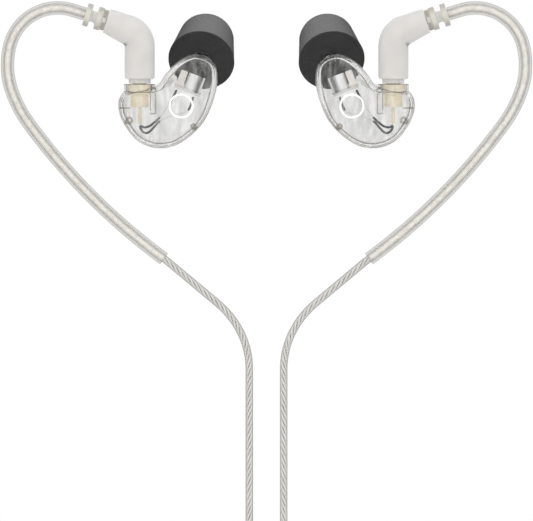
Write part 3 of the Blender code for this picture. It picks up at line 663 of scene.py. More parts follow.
def clear_shell(tree, shader, ior, haze_low, haze_high):
    """Clear moulded plastic with flow streaks and milky patches, and painted shade towards its outline.
    """
    streaks = grain(tree, 1.3, stretch=(1.0, 1.0, 0.25))
    # painted shade: the colour darkens from the middle towards the outline
    tint_and_outline_shade = ramp(
        tree, facing(tree, 0.35), (0.0, (0.985, 0.985, 0.98)), (0.45, (0.92, 0.915, 0.905)),
        (0.9, (0.52, 0.48, 0.43)),
    )
    shade = ramp(tree, streaks, (0.4, (0.8, 0.8, 0.795)), (0.6, 0.985))
    feed(
        tree, shader, Base_Color=mix(tree, 1.0, tint_and_outline_shade, shade, blend_type="MULTIPLY"), IOR=ior,
        Transmission_Weight=1.0, Normal=bump(tree, grain(tree, 6.0, 2.0), 0.3, 0.6),
        Roughness=ramp(tree, grain(tree, 0.25, 4.0), (0.35, 0.015), (0.75, 0.09)),
    )
    clouds = grain(tree, 1.0, 4.0, stretch=(1.0, 1.0, 0.3))
    haze = ramp(tree, clouds, (0.46, haze_low), (0.6, haze_high))
    haze = maths(tree, "MULTIPLY", haze, ramp(tree, facing(tree), (0.3, 1.0), (0.7, 0.15)))
    scatter, matt = (
        node(tree, kind, {"Color": (0.9, 0.9, 0.89)}).outputs[0]
        for kind in ("ShaderNodeBsdfTranslucent", "ShaderNodeBsdfDiffuse")
    )
    see_through(tree, haze, shader.outputs[0], mix_surfaces(tree, 0.5, scatter, matt))


def clear_sleeve(tree, shader, middle, edge, haze):
    """Thin soft plastic: light passes straight, and a painted shade darkens its tint towards the
    outline.
    """
    cloud = grain(tree, 2.0, 2.0)
    feed(
        tree, shader, Base_Color=mottled(tree, cloud, (0.74, 0.735, 0.715), (0.82, 0.815, 0.795)),
        Roughness=0.22, Normal=bump(tree, cloud, 0.03, 0.5),
    )
    turn = facing(tree)
    between = tuple((a + b) / 2 for a, b in zip(middle, edge))
    # painted shade: the tint darkens towards the outline
    tint_and_outline_shade = ramp(tree, turn, (0.1, middle), (0.55, between), (0.95, edge))
    straight = node(tree, "ShaderNodeBsdfTransparent", {"Color": tint_and_outline_shade}).outputs[0]
    see_through(tree, ramp(tree, turn, (0.2, haze), (0.9, 2.2 * haze)), straight, shader.outputs[0])


def frosted_boot(tree, shader):
    fine = grain(tree, 0.12, 2.0)
    colour = mottled(tree, grain(tree, 3.0), (0.72, 0.70, 0.675), (0.765, 0.745, 0.72))
    feed(
        # painted shade: the colour darkens towards the outline
        tree, shader, Base_Color=mix(tree, facing(tree, 0.25), colour, (0.60, 0.60, 0.58)), IOR=1.4,
        Roughness=mottled(tree, fine, 0.42, 0.6), Normal=bump(tree, fine, 0.012, 0.6),
        Subsurface_Weight=0.8, Subsurface_Radius=(1.0, 0.97, 0.9), Subsurface_Scale=1.6 * MM,
    )


def relief_rubber(tree, shader):
    """Soft rubber that is lighter at its waist, where the cable shows through, with painted shade
    towards its outline.
    """
    colour = mottled(tree, grain(tree, 1.2), (0.66, 0.64, 0.58), (0.77, 0.75, 0.69))
    # painted shade: darker colour towards the outline
    turn = ramp(tree, facing(tree), (0.02, 0.0), (0.35, 0.7), (0.8, 1.0))
    colour = mix(tree, turn, colour, (0.42, 0.41, 0.37))
    feed(
        tree, shader, Base_Color=mix(tree, attribute(tree, "waist"), colour, (0.97, 0.95, 0.89)),
        Roughness=0.3, IOR=1.3, Normal=bump(tree, grain(tree, 0.4, 2.0), 0.02, 0.6),
        Subsurface_Weight=0.5, Subsurface_Radius=(1.0, 0.95, 0.8), Subsurface_Scale=0.9 * MM,
    )


def silver_cable(tree, shader):
    colour = mottled(tree, grain(tree, 1.6, 2.0), (0.73, 0.71, 0.68), (0.83, 0.81, 0.78))
    # painted shade: the strands darken towards their outlines
    turn = ramp(tree, facing(tree), (0.15, 0.0), (0.85, 1.0))
    feed(
        tree, shader, Base_Color=mix(tree, turn, colour, (0.48, 0.475, 0.46)), Metallic=0.1,
        Roughness=0.36, Coat_Weight=0.4, Coat_Roughness=0.15,
        Normal=bump(tree, grain(tree, 0.8, 2.0), 0.01, 0.5),
    )


def cable_jacket(tree, shader):
    """Beige inner jacket that shows through the hook tube, with painted shade towards its outline and
    painted glints along its middle.
    """
    patch = grain(tree, 0.8, 2.0)
    colour = mottled(tree, patch, (0.76, 0.715, 0.67), (0.93, 0.885, 0.84))
    # painted shade: darker colour towards the outline
    turn = ramp(tree, facing(tree), (0.03, 0.0), (0.42, 1.0))
    edge = ramp(tree, patch, (0.35, (0.38, 0.365, 0.35)), (0.65, (0.5, 0.475, 0.45)))
    colour = mix(tree, turn, colour, edge)
    # painted glints: lighter flecks where the jacket faces the eye
    glints = maths(
        tree, "MULTIPLY", ramp(tree, facing(tree), (0.01, 1.0), (0.08, 0.0)),
        ramp(tree, grain(tree, 0.9, 2.0), (0.45, 0.0), (0.6, 1.0)),
    )
    feed(
        tree, shader, Base_Color=mix(tree, glints, colour, (0.98, 0.965, 0.92)), Roughness=0.4,
        Normal=bump(tree, grain(tree, 1.5, 2.0), 0.02, 0.5),
    )


def gold_contact(tree, shader):
    plate = grain(tree, 1.1)
    lines = grain(tree, 0.05, 2.0, stretch=(0.15, 0.15, 1.0))
    colour = mottled(tree, plate, (0.93, 0.82, 0.60), (0.97, 0.89, 0.70))
    feed(
        tree, shader, Base_Color=mix(tree, edges(tree), colour, (0.99, 0.95, 0.82)), Metallic=0.15,
        Roughness=mottled(tree, plate, 0.26, 0.42), Normal=bump(tree, lines, 0.004, 0.5),
    )


def brushed_metal(tree, shader, dark, light, patch, worn, metallic, line, stretch, roughness):
    """Metal with fine lines along it and brighter worn edges."""
    brushed = grain(tree, line, stretch=stretch)
    colour = mottled(tree, grain(tree, patch), dark, light)
    feed(
        tree, shader, Base_Color=mix(tree, edges(tree), colour, worn), Metallic=metallic,
        Roughness=mottled(tree, brushed, *roughness), Normal=bump(tree, brushed, 0.004, 0.5),
    )


def can_steel(tree, shader):
    """Drawn steel with painted reflections: bright and dark bands, set by how far across the can a point
    lies, run along it.
    """
    drawn = grain(tree, 0.3, 2.0, stretch=(1.0, 1.0, 0.1))
    # painted reflection: bright and dark bands across the can
    colour = ramp(
        tree, attribute(tree, "across"), (0.0, 0.62), (0.16, 0.93), (0.5, 0.95), (0.64, 0.42),
        (0.74, 0.16), (0.86, 0.22), (0.9, 0.85), (0.97, 0.8), (1.0, 0.4),
    )
    feed(
        tree, shader, Base_Color=colour, Metallic=0.1, Normal=bump(tree, drawn, 0.004, 0.5),
        Roughness=mottled(tree, drawn, 0.2, 0.32),
    )


def plain_look(tree, shader, dark, light, grain_size, roughness, depth, more=None):
    """A mottled material with a fine surface."""
    fine = grain(tree, grain_size, 4.0)
    feed(
        tree, shader, Base_Color=mottled(tree, grain(tree, grain_size * 8), dark, light),
        Roughness=mottled(tree, fine, roughness - 0.06, roughness + 0.06),
        Normal=bump(tree, fine, depth, 0.8), **(more or {}),
    )


def foam(tree, shader, dark, light, rim, skin_share):
    """Open-cell foam; `rim` is a painted shade towards the silhouette."""
    cells = node(
        tree, "ShaderNodeTexVoronoi", {"Vector": place_of(tree), "Scale": 1 / (0.22 * MM)}, feature="F1"
    ).outputs["Distance"]
    skin = grain(tree, 0.5, 4.0)
    colour = ramp(tree, cells, (0.0, dark), (0.5, light))
    skinned = ramp(tree, skin, (0.4, 0.0), (0.8, skin_share))
    colour = mix(tree, skinned, colour, tuple(1.3 * channel for channel in light))
    # painted shade: the colour goes over to `rim` towards the silhouette
    turn = ramp(tree, facing(tree), (0.5, 0.0), (0.95, 1.0))
    feed(
        tree, shader, Base_Color=mix(tree, turn, colour, rim), Roughness=0.92, Specular_IOR_Level=0.2,
        Normal=bump(tree, cells, 0.05, 0.7, bump(tree, skin, 0.05, 0.6)),
    )


def make_looks():
    table = {
        "clear_shell": (clear_shell, 1.14, 0.04, 0.19),
        "clear_rear": (clear_shell, 1.06, 0.0, 0.008),
        "clear_tray": (clear_shell, 1.15, 0.0, 0.03),
        # clear sleeves: tint in the middle, darker outline tint as painted shade, milky share
        "clear_rib": (clear_sleeve, (0.74, 0.72, 0.69), (0.5, 0.48, 0.45), 0.06),
        "clear_tube": (clear_sleeve, (0.97, 0.965, 0.955), (0.62, 0.61, 0.595), 0.12),
        "cable_skin": (clear_sleeve, (0.96, 0.955, 0.945), (0.34, 0.335, 0.325), 0.1),
        "frosted_boot": (frosted_boot,),
        "relief_rubber": (relief_rubber,),
        "silver_cable": (silver_cable,),
        "cable_jacket": (cable_jacket,),
        "gold_contact": (gold_contact,),
        "can_steel": (can_steel,),
        "steel_part": (
            brushed_metal, (0.74, 0.73, 0.72), (0.86, 0.85, 0.84), 1.4, (0.95, 0.95, 0.94), 1.0,
            0.08, (1.0, 1.0, 0.1), (0.16, 0.3),
        ),
        "armature_case": (
            brushed_metal, (0.84, 0.76, 0.71), (0.94, 0.88, 0.83), 1.0, (0.98, 0.95, 0.92), 0.15,
            0.1, (0.2, 1.0, 1.0), (0.28, 0.42),
        ),
        # foam: dark, light, painted shade at the silhouette, share of lighter skin
        "foam": (foam, (0.13, 0.13, 0.131), (0.23, 0.23, 0.232), (0.055, 0.055, 0.056), 0.3),
        # darker copy of the foam for its base face: painted shade
        "foam_shaded_base": (foam, (0.02, 0.02, 0.02), (0.042, 0.042, 0.042), (0.03, 0.03, 0.03), 0.15),
        # grey filler: painted shade between the strands
        "cable_core_shade": (plain_look, (0.5, 0.495, 0.48), (0.6, 0.595, 0.58), 0.6, 0.5, 0.01),
        "litz": (
            plain_look, (0.70, 0.69, 0.66), (0.84, 0.83, 0.80), 0.1, 0.35, 0.004, {"Metallic": 0.3},
        ),
        # the clip's dark brown is painted shadow: it draws the dark slanted line round the jack
        "clip_painted_shadow": (plain_look, (0.26, 0.2, 0.13), (0.4, 0.32, 0.22), 0.1, 0.35, 0.004),
        "dielectric": (
            plain_look, (0.80, 0.79, 0.75), (0.90, 0.89, 0.86), 0.1, 0.45, 0.01,
            {"Subsurface_Weight": 0.3, "Subsurface_Scale": 0.5 * MM},
        ),
        "enamelled_wire": (
            plain_look, (0.045, 0.045, 0.05), (0.09, 0.09, 0.095), 0.06, 0.3, 0.004,
            {"Coat_Weight": 0.5},
        ),
        "diaphragm": (plain_look, (0.5, 0.52, 0.55), (0.66, 0.68, 0.7), 0.08, 0.35, 0.004),
        "damper": (
            plain_look, (0.3, 0.31, 0.33), (0.42, 0.43, 0.45), 0.05, 0.5, 0.02, {"Metallic": 0.5},
        ),
        "tip_core": (plain_look, 0.02, 0.04, 0.12, 0.6, 0.01),
        # painted light: the print's faint emission makes it glow
        "white_print": (
            plain_look, 0.93, 0.99, 0.08, 0.4, 0.004,
            {"Emission_Color": (1, 1, 1), "Emission_Strength": 0.25},
        ),
    }
    return {name: new_material(name, *recipe) for name, recipe in table.items()}


# ---------------------------------------------------------------- pieces


def add_piece(name, bm, place, look, body=None, node_name=None, sharp=SHARP_ANGLE):
    """Make an object of a millimetre bmesh and hang it on its body, in place of a CAD node."""
    bm.transform(place)
    if place.determinant() < 0:
        bmesh.ops.reverse_faces(bm, faces=bm.faces)
    mesh = to_mesh(bm, name)
    mesh.shade_smooth()
    mesh.set_sharp_from_angle(angle=radians(sharp))
    mesh.materials.append(LOOKS[look])
    obj = new_object(name, mesh)
    if body:
        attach(obj, body)
    if node_name:
        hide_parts(node_name)
    return obj


class Side(namedtuple("Side", "name place")):
    """One side of the pair: its name, and the matrix that places its millimetre frame."""

    def add(self, name, bm, look, body=None, node_name=None, sharp=SHARP_ANGLE):
        """Add a piece; its name, its body and its CAD node all start with the side's name."""
        name, body, node_name = (part and f"{self.name}_{part}" for part in (name, body, node_name))
        return add_piece(name, bm, self.place, look, body, node_name, sharp)


def spine_point(point):
    start, end = SHELL_SPINE
    run = end - start
    share = min(max((point - start).dot(run) / run.length_squared, 0), 1)
    return start + run * share


def face_depth(share):
    if share < FACE_EDGE_SHARE:
        across = 1 - share / FACE_EDGE_SHARE
        return FACE_EDGE_DEPTH * sqrt(1 - across ** 2)
    left = (1 - share) / (1 - FACE_EDGE_SHARE)
    return FACE_EDGE_DEPTH + FACE_CROWN * (1 - left ** 2)


def face_rings(rim):
    """Rounded edge and low crown of the faceplate, drawn in towards the spine."""
    run = FACE_CAP_SHARE - FACE_EDGE_SHARE
    shares = [
        FACE_EDGE_SHARE * (1 - cos(pi / 2 * k / FACE_EDGE_STEPS)) for k in range(1, FACE_EDGE_STEPS + 1)
    ]
    shares += [FACE_EDGE_SHARE + run * k / FACE_CROWN_STEPS for k in range(1, FACE_CROWN_STEPS + 1)]
    return [
        [point.lerp(spine_point(point), share) - DEPTH * face_depth(share) for point in rim]
        for share in shares
    ]


def rear_rings(rim):
    """Funnel from the parting line to the nozzle's root, then the nozzle."""
    across = (Vector((1, 0, 0)) - TIP_AXIS * TIP_AXIS.x).normalized()
    upward = across.cross(TIP_AXIS)
    root = TIP_BASE + TIP_AXIS * NOZZLE_ROOT
    spokes = []
    for point in rim:
        angle = atan2(point.z - SHELL_CENTRE[1], point.x - SHELL_CENTRE[0])
        spokes.append((across * cos(angle) + upward * sin(angle)) * NOZZLE_RADIUS)
    rings = []
    for k in range(1, REAR_STEPS + 1):
        t = (k / REAR_STEPS) ** REAR_STEP_GROWTH
        ring = []
        for point, spoke in zip(rim, spokes):
            reach = (point - Vector((root.x, 0, root.z))).length
            off_rim, off_root = (base + share * reach for base, share in REAR_PULLS)
            leave = point.lerp(spine_point(point), REAR_DRAFT) + DEPTH * off_rim
            arrive = root + spoke - TIP_AXIS * off_root
            ring.append(
                point * (1 - t) ** 3 + leave * 3 * t * (1 - t) ** 2
                + arrive * 3 * t ** 2 * (1 - t) + (root + spoke) * t ** 3
            )
        rings.append(ring)
    end = TIP_BASE + TIP_AXIS * NOZZLE_END
    rings.append([end + spoke for spoke in spokes])
    return rings


def inset(rim, distance):
    """The rim moved inwards in the parting plane."""
    moved_rim = []
    for i, point in enumerate(rim):
        tangent = (rim[(i + 1) % len(rim)] - rim[i - 1]).normalized()
        moved_rim.append(point + Vector((tangent.z, 0, -tangent.x)) * distance)
    return moved_rim


def rim_lip(rim):
    """Tongue along the parting line, left out round the socket."""
    near, far = (inset(rim, distance) for distance in LIP_INSET)
    low, high = (DEPTH * depth for depth in LIP_SPAN)
    lip = loft([[a + low, b + low, b + high, a + high] for a, b in zip(near, far)], closed=True)
    return boolean(lip, "DIFFERENCE", disc(LIP_GAP_RADIUS, *LIP_GAP_SPAN, sides=32))


def cradle_ribs():
    """Ledge and pocket that hold the socket, and the pegs that key the shells."""
    low, high = RIB_SPAN
    ribs = [block((width, high - low, height), (u, (low + high) / 2, w)) for width, height, u, w in RIBS]
    cradle = boolean(ribs[0], "UNION", *ribs[1:])
    for u, w, radius in PEGS:
        peg = annulus(radius * PEG_BORE_SHARE, radius, 0, high - low, sides=28)
        cradle = join(cradle, moved(peg, (u, low, w), DEPTH))
    return cradle


def collar_shade_lines():
    """Painted shade along the collar's edges, drawn in its wall: thin hoops at its top and foot, joined
    by thin posts.
    """
    foot, top = COLLAR_SKIN - COLLAR_DEPTH, -COLLAR_SKIN
    marks = []
    for radius in COLLAR_HOOPS:
        for low in (foot, top - COLLAR_EDGE):
            marks.append(annulus(radius - COLLAR_EDGE, radius, low, low + COLLAR_EDGE))
        for u in (COLLAR_EDGE / 2 - radius, radius - COLLAR_EDGE / 2):
            marks.append(block((COLLAR_EDGE, COLLAR_EDGE, top - foot), (u, 0, foot / 2)))
    return join(*marks)


def make_shell(side):
    rim = spline([Vector((u, 0, w)) for u, w in SHELL_OUTLINE], SHELL_SPAN_POINTS, closed=True)
    hollow = with_modifier(
        loft(face_rings(rim)[::-1] + [rim] + rear_rings(rim)), "SOLIDIFY",
        thickness=SHELL_WALL, offset=-1, use_even_offset=True,
    )
    hollow = boolean(hollow, "UNION", disc(COLLAR_RADIUS, -COLLAR_DEPTH, 0, sides=48))
    hollow = boolean(hollow, "DIFFERENCE", disc(JACK_HEAD_RADIUS + FIT_GAP, *COLLAR_BORE_SPAN, sides=48))
    rear, front = (
        boolean(half, "INTERSECT", block((HALF_SPACE,) * 3, (0, depth, 0)))
        for half, depth in ((hollow.copy(), HALF_DEPTH), (hollow, -HALF_DEPTH))
    )
    bore = disc(NOZZLE_BORE, 0, 2 * NOZZLE_BORE_DEPTH)
    bore = moved(bore, TIP_BASE + TIP_AXIS * (NOZZLE_END - NOZZLE_BORE_DEPTH), TIP_AXIS)
    rear = boolean(rear, "DIFFERENCE", bore)
    surface = BVHTree.FromBMesh(front)
    side.add("shell_ribs", join(cradle_ribs(), rim_lip(rim), collar_shade_lines()), "clear_rib", "earpiece")
    side.add("clear_faceplate", front, "clear_shell", "earpiece", "faceplate")
    side.add("clear_rear_shell", rear, "clear_rear", "earpiece", "rear_shell")
    screen = moved(disc(*FILTER, 0.08), TIP_BASE, TIP_AXIS)
    side.add("filter_screen", screen, "damper", "earpiece", "nozzle_filter")
    make_mark(side, surface)


def make_mark(side, surface):
    """A plain printed ring that follows the faceplate's crown."""
    u, w = MARK_CENTRE
    sections = []
    for k in range(MARK_STEPS):
        angle = tau * k / MARK_STEPS
        spoke = Vector((cos(angle), 0, sin(angle)))
        section = []
        for reach, lift in MARK_SECTION:
            start = Vector((u, -10, w)) + spoke * (MARK_RADIUS + reach)
            section.append(surface.ray_cast(start, DEPTH)[0] - DEPTH * lift)
        sections.append(section)
    side.add("printed_ring", loft(sections, closed=True), "white_print", "earpiece")


def make_socket(side):
    """Socket with its clip and wires, the plug in it, and the open ring that snaps the two together."""
    for name, look, body, node_name, sides, edge, profile in CONNECTOR:
        side.add(name, turned_part(profile, edge, sides), look, body, node_name)
    # painted shadow: the dark clip draws the slanted shadow line on the jack
    clip = moved(annulus(*CLIP_SECTION, 0.03), (0, 0, CLIP_HEIGHT), CLIP_AXIS)
    side.add("jack_clip", clip, "clip_painted_shadow", "earpiece")
    for name, starts_at, points in WIRES:
        make_wire(side, name, starts_at, [Vector(point) for point in points])
    sections = []
    for k in range(RING_STEPS + 1):
        angle = RING_OPENING / 2 + (tau - RING_OPENING) * k / RING_STEPS
        section = rounded(RING_SECTION, 0.08, closed=True)
        sections.append([Vector((r * cos(angle), r * sin(angle), height)) for r, height in section])
    side.add("open_ring", loft(sections), "steel_part", "snap_ring", "snap_ring")


def make_wire(side, name, starts_at, points):
    """Two dark sleeves joined by a thin bare litz; the second sleeve starts at u = `starts_at`."""
    path = spline(points, 12, closed=False)
    sleeves = []
    for run in ([p for p in path if p.x < SLEEVE_END], [p for p in path if p.x > starts_at]):
        radii = [WIRE_RADIUS] * len(run)
        radii[0] = radii[-1] = WIRE_RADIUS * SLEEVE_END_SHARE
        sleeves.append(loft(round_rings(run, radii, 14)))
    side.add(name + "_lead", join(*sleeves), "enamelled_wire", "earpiece", name)
    back, ahead = LITZ_OVERLAP
    bare = [p for p in path if SLEEVE_END - back < p.x < starts_at + ahead]
    side.add(name + "_litz", loft(round_rings(bare, [LITZ_RADIUS] * len(bare), 10)), "litz", "earpiece")


def make_drivers(side):
    can = turned_part(CAN_PROFILE, 0.09, 72)
    # painted reflection: how far across the can a point lies picks its bright or dark band
    shade = can.verts.layers.float.new("across")
    for vert in can.verts:
        vert[shade] = 0.5 + 0.5 * vert.co.x / CAN_RADIUS
    dome = []
    for profile in (DIAPHRAGM_TOP, DIAPHRAGM_UNDERSIDE):
        dome += spline([Vector(point) for point in profile], 6, closed=False)
    case = join(block(ARMATURE_SIZE, edge=0.2), block(*CASE_SEAM, 0.02, 1))
    tray = boolean(block(*TRAY, 0.18), "DIFFERENCE", block(*TRAY_POCKET, 0.1))
    for name, bm, offset, look, node_name in (
        ("steel_can", can, CAN_OFFSET, "can_steel", "driver_can"),
        ("magnet", disc(*MAGNET, 0.1), CAN_OFFSET, "steel_part", "driver_magnet"),
        ("diaphragm", turned(dome), CAN_OFFSET, "diaphragm", "driver_diaphragm"),
        ("armature_case", case, ARMATURE_OFFSET, "armature_case", "armature_driver"),
        ("clear_carrier", tray, 0.0, "clear_tray", "driver_carrier"),
    ):
        centre = BLOCK_CENTRE + DEPTH.cross(BLOCK_AXIS) * offset
        side.add(name, moved(bm, centre, BLOCK_AXIS), look, "earpiece", node_name)


def foam_profile(bore):
    """Base, rounded rim, straight flank, superellipse crown and bore of the foam."""
    power = FOAM_CROWN_POWER
    widening = FOAM_SHOULDER_RADIUS - FOAM_BASE_RADIUS
    rise = FOAM_APEX - FOAM_SHOULDER
    few, round_edge, long, many = FOAM_STEPS
    profile = [(bore + (FOAM_BASE_RADIUS - FOAM_EDGE - bore) * k / few, 0.0) for k in range(few)]
    for k in range(round_edge + 1):
        a = pi / 2 * k / round_edge
        profile.append((FOAM_BASE_RADIUS - FOAM_EDGE * (1 - sin(a)), FOAM_EDGE * (1 - cos(a))))
    for k in range(2, long):
        profile.append((FOAM_BASE_RADIUS + widening * k / long, FOAM_SHOULDER * k / long))
    top = (1 - (bore / FOAM_SHOULDER_RADIUS) ** power) ** (1 / power)
    for k in range(many):
        along = top * sin(pi / 2 * k / many)
        across = (1 - along ** power) ** (1 / power)
        profile.append((FOAM_SHOULDER_RADIUS * across, FOAM_SHOULDER + rise * along))
    high = FOAM_SHOULDER + rise * top
    return profile + [(bore, high * k / few) for k in range(few, 0, -1)]


def make_tip(side):
    bore = CORE_RADIUS + FIT_GAP
    tip = turned(foam_profile(bore), 150, closed=True)
    for vert in tip.verts:
        if Vector((vert.co.x, vert.co.y)).length >= bore + FOAM_BORE_SKIN:
            lump = sum(height * noise.noise(vert.co * pitch) for height, pitch in FOAM_LUMPS)
            vert.co -= vert.normal * (FOAM_SINK + abs(lump))
    tip.normal_update()
    # the base faces take the darker foam copy: painted shade
    for face in tip.faces:
        face.material_index = 1 if face.calc_center_median().z < 0.8 * FOAM_EDGE else 0
    piece = side.add("ear_tip_foam", moved(tip, TIP_BASE, TIP_AXIS), "foam", "tip", "foam_tip", sharp=60)
    piece.data.materials.append(LOOKS["foam_shaded_base"])
    core = annulus(NOZZLE_RADIUS + FIT_GAP, CORE_RADIUS, 0, CORE_LENGTH, 0.15)
    side.add("ear_tip_core", moved(core, TIP_BASE, TIP_AXIS), "tip_core", "tip", "tip_core")


def elbow_path():
    bend, heading = trace((0, 0, ELBOW_CORNER), 90, ELBOW_BEND, PATH_STEP)
    arm, _ = trace(bend[-1], heading, ELBOW_ARM, PATH_STEP)
    return bend, arm[1:]


def hook_path():
    start = elbow_path()[1][-1] + direction(RELIEF_HEADING) * TUBE_START
    first_leg = (HOOK_LEGS[0][0] - TUBE_START,)
    return trace(start, RELIEF_HEADING, (first_leg,) + HOOK_LEGS[1:], PATH_STEP)


def make_elbow(side):
    bend, arm = elbow_path()
    straight = [Vector((0, 0, 0))] + bend
    corner = Line(straight).length
    line = Line(straight + arm)
    end = line.length
    taper = (ELBOW_RADIUS - ELBOW_END_RADIUS) / (end - corner)
    across, along = ELBOW_SHOULDER
    outline = rounded((
        (ELBOW_FOOT, PLUG_RADIUS + FIT_GAP), (ELBOW_FOOT, ELBOW_NECK_RADIUS),
        (ELBOW_NECK_TOP, ELBOW_NECK_RADIUS), (ELBOW_NECK_TOP, ELBOW_RADIUS - across),
        (ELBOW_NECK_TOP + along, ELBOW_RADIUS),
    ), 0.16)
    station = ELBOW_BODY_START
    while station < end - ELBOW_MOUTH:
        outline.append((station, ELBOW_RADIUS - max(0.0, station - corner) * taper))
        station += ELBOW_STEP
    outline += rounded((
        (end - ELBOW_MOUTH, ELBOW_END_RADIUS + 0.02), (end, ELBOW_END_RADIUS), (end, CABLE_BORE),
    ), 0.18)
    steps = int((end - PLUG_TOP - ELBOW_MOUTH) / ELBOW_STEP)
    bore = [(end - k * ELBOW_STEP, CABLE_BORE) for k in range(1, steps)]
    bore += [(PLUG_TOP + 0.1, CABLE_BORE), (PLUG_TOP + 0.1, PLUG_RADIUS + FIT_GAP)]
    elbow = loft(line.rings(outline + bore, 56), closed=True)
    side.add("frosted_elbow", elbow, "frosted_boot", "hook", "elbow", sharp=40)


def make_relief(side):
    """Sleeve with a slotted collar, two square ribs and a waist between them."""
    slots = []
    for k in range(RELIEF_SLOTS):
        slot = block(RELIEF_SLOT_SIZE, RELIEF_SLOT_PLACE)
        slot.transform(Matrix.Rotation(tau * (k + 0.5) / RELIEF_SLOTS, 4, "Z"))
        slots.append(slot)
    sleeve = boolean(turned_part(RELIEF_PROFILE, 0.14, 72), "DIFFERENCE", *slots)
    shade = sleeve.verts.layers.float.new("waist")
    low, high = WAIST_RADII
    for vert in sleeve.verts:
        vert[shade] = WAIST_SHADE if low < vert.co.xy.length < high else 0.0
    sleeve = moved(sleeve, elbow_path()[1][-1], direction(RELIEF_HEADING))
    side.add("ribbed_strain_relief", sleeve, "relief_rubber", "hook", "strain_relief")


def make_hook_tube(side):
    line = Line(hook_path()[0])
    end = line.length
    wall = ((0, TUBE_BORE), (0, TUBE_RADIUS), (end, TUBE_RADIUS), (end, TUBE_BORE))
    wall = rounded(wall, 0.12, closed=True)
    outer = [station for station in wall if station[1] > TUBE_BORE + 0.001]
    stations = []
    for station, following in zip(outer, outer[1:]):
        stations.append(station)
        if following[0] - station[0] > 1:
            stations += [(at, TUBE_RADIUS) for at in spaced(station[0], following[0], PATH_STEP)[1:-1]]
    stations += [outer[-1]] + [(at, TUBE_BORE) for at in spaced(end, 0, PATH_STEP)]
    tube = loft(line.rings(stations, 40), closed=True)
    side.add("clear_hook_tube", tube, "clear_tube", "hook", "hook_tube", sharp=50)


def add_cable(name, line, start, scale, place, node_name, body=None):
    """Twisted strands round a grey filler that paints the shade in the gaps between them, in a clear
    skin.
    """
    cable = twisted(line, start, *(scale * size for size in (STRAND_RADIUS, STRAND_ORBIT, STRAND_PITCH)))
    core, skin = (
        loft(line.rings([(at, radius * scale) for at in spaced(start, line.length, PATH_STEP)], sides))
        for radius, sides in ((CORE_FILL_RADIUS, 10), (CABLE_RADIUS, 24))
    )
    for index, bm in enumerate((cable, core, skin)):
        for face in bm.faces:
            face.material_index = index
    piece = add_piece(name, join(cable, core, skin), place, "silver_cable", body, node_name, sharp=70)
    piece.data.materials.append(LOOKS["cable_core_shade"])
    piece.data.materials.append(LOOKS["cable_skin"])
    return piece


def make_cable(side):
    """Smooth jacket in the hook, then one twisted cable to the splitter; it bends at the flex point."""
    points, heading = hook_path()
    flex = points[-1] + direction(heading) * FLEX_REACH
    mouth = side.place.translation / MM
    foot = Vector((abs(mouth.x) - STRAND_X, 0, STRAND_END_Z - mouth.z))
    arc_end = trace(flex, STRAND_HEADING, STRAND_ARCS, PATH_STEP)[0][-1]
    slope = (foot.x - arc_end.x) / cos(radians(STRAND_HEADING))
    strand, _ = trace(flex, STRAND_HEADING, ((slope,),) + STRAND_ARCS, PATH_STEP)
    hook_run = elbow_path()[1][JACKET_SKIP:] + points
    line = Line(hook_run + strand + [foot])
    jacket_end = Line(hook_run).length - JACKET_SHORT
    jacket = [(at, CABLE_RADIUS) for at in spaced(0, jacket_end, PATH_STEP)[:-1]]
    jacket += [(jacket_end - 0.1, CABLE_RADIUS), (jacket_end, CABLE_RADIUS - 0.1)]
    side.add("hook_cable_jacket", loft(line.rings(jacket, 28)), "cable_jacket", "hook", "hook_cable")
    start = jacket_end - CABLE_OVERLAP
    piece = add_cable(side.name + "_twisted_cable", line, start, 1.0, side.place, side.name + "_strand")
    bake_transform(piece)


def make_side(side):
    make_shell(side)
    make_socket(side)
    make_drivers(side)
    make_tip(side)
    make_elbow(side)
    make_relief(side)
    make_hook_tube(side)
    make_cable(side)


# ---------------------------------------------------------------- slider, splitter and plug

def strand_bores(low, high):
    """Cutters for the two strands."""
    radius = CABLE_RADIUS + FIT_GAP
    return [moved(disc(radius, low, high, sides=32), (x, 0, 0)) for x in (-STRAND_X, STRAND_X)]


def make_slider(place):
    slider = block(SLIDER_SIZE, edge=SLIDER_BEVEL, segments=8)
    reach = SLIDER_SIZE[0] / 2 - SLIDER_BEVEL - GRIP_RADIUS
    depth = SLIDER_SIZE[1] / 2 + GRIP_RADIUS - GRIP_DEPTH
    grooves = [
        moved(disc(GRIP_RADIUS, -reach, reach, 0.3, sides=24), (0, y, height), (1, 0, 0))
        for y in (-depth, depth) for height in GRIP_HEIGHTS
    ]
    slider = boolean(slider, "DIFFERENCE", *grooves, *strand_bores(-CUT_BEYOND, CUT_BEYOND))
    slider = moved(slider, (0, 0, SLIDER_Z))
    add_piece("frosted_slider", slider, place, "frosted_boot", "slider", "cable_slider")


def splitter_slab(share, depth):
    right_edge = [(half * share, height * share) for height, half in SPLITTER_HALF_WIDTHS]
    outline = right_edge + [(-half, height) for half, height in reversed(right_edge)]
    return loft([[Vector((x, y, z)) for x, z in outline] for y in (-depth / 2, depth / 2)])


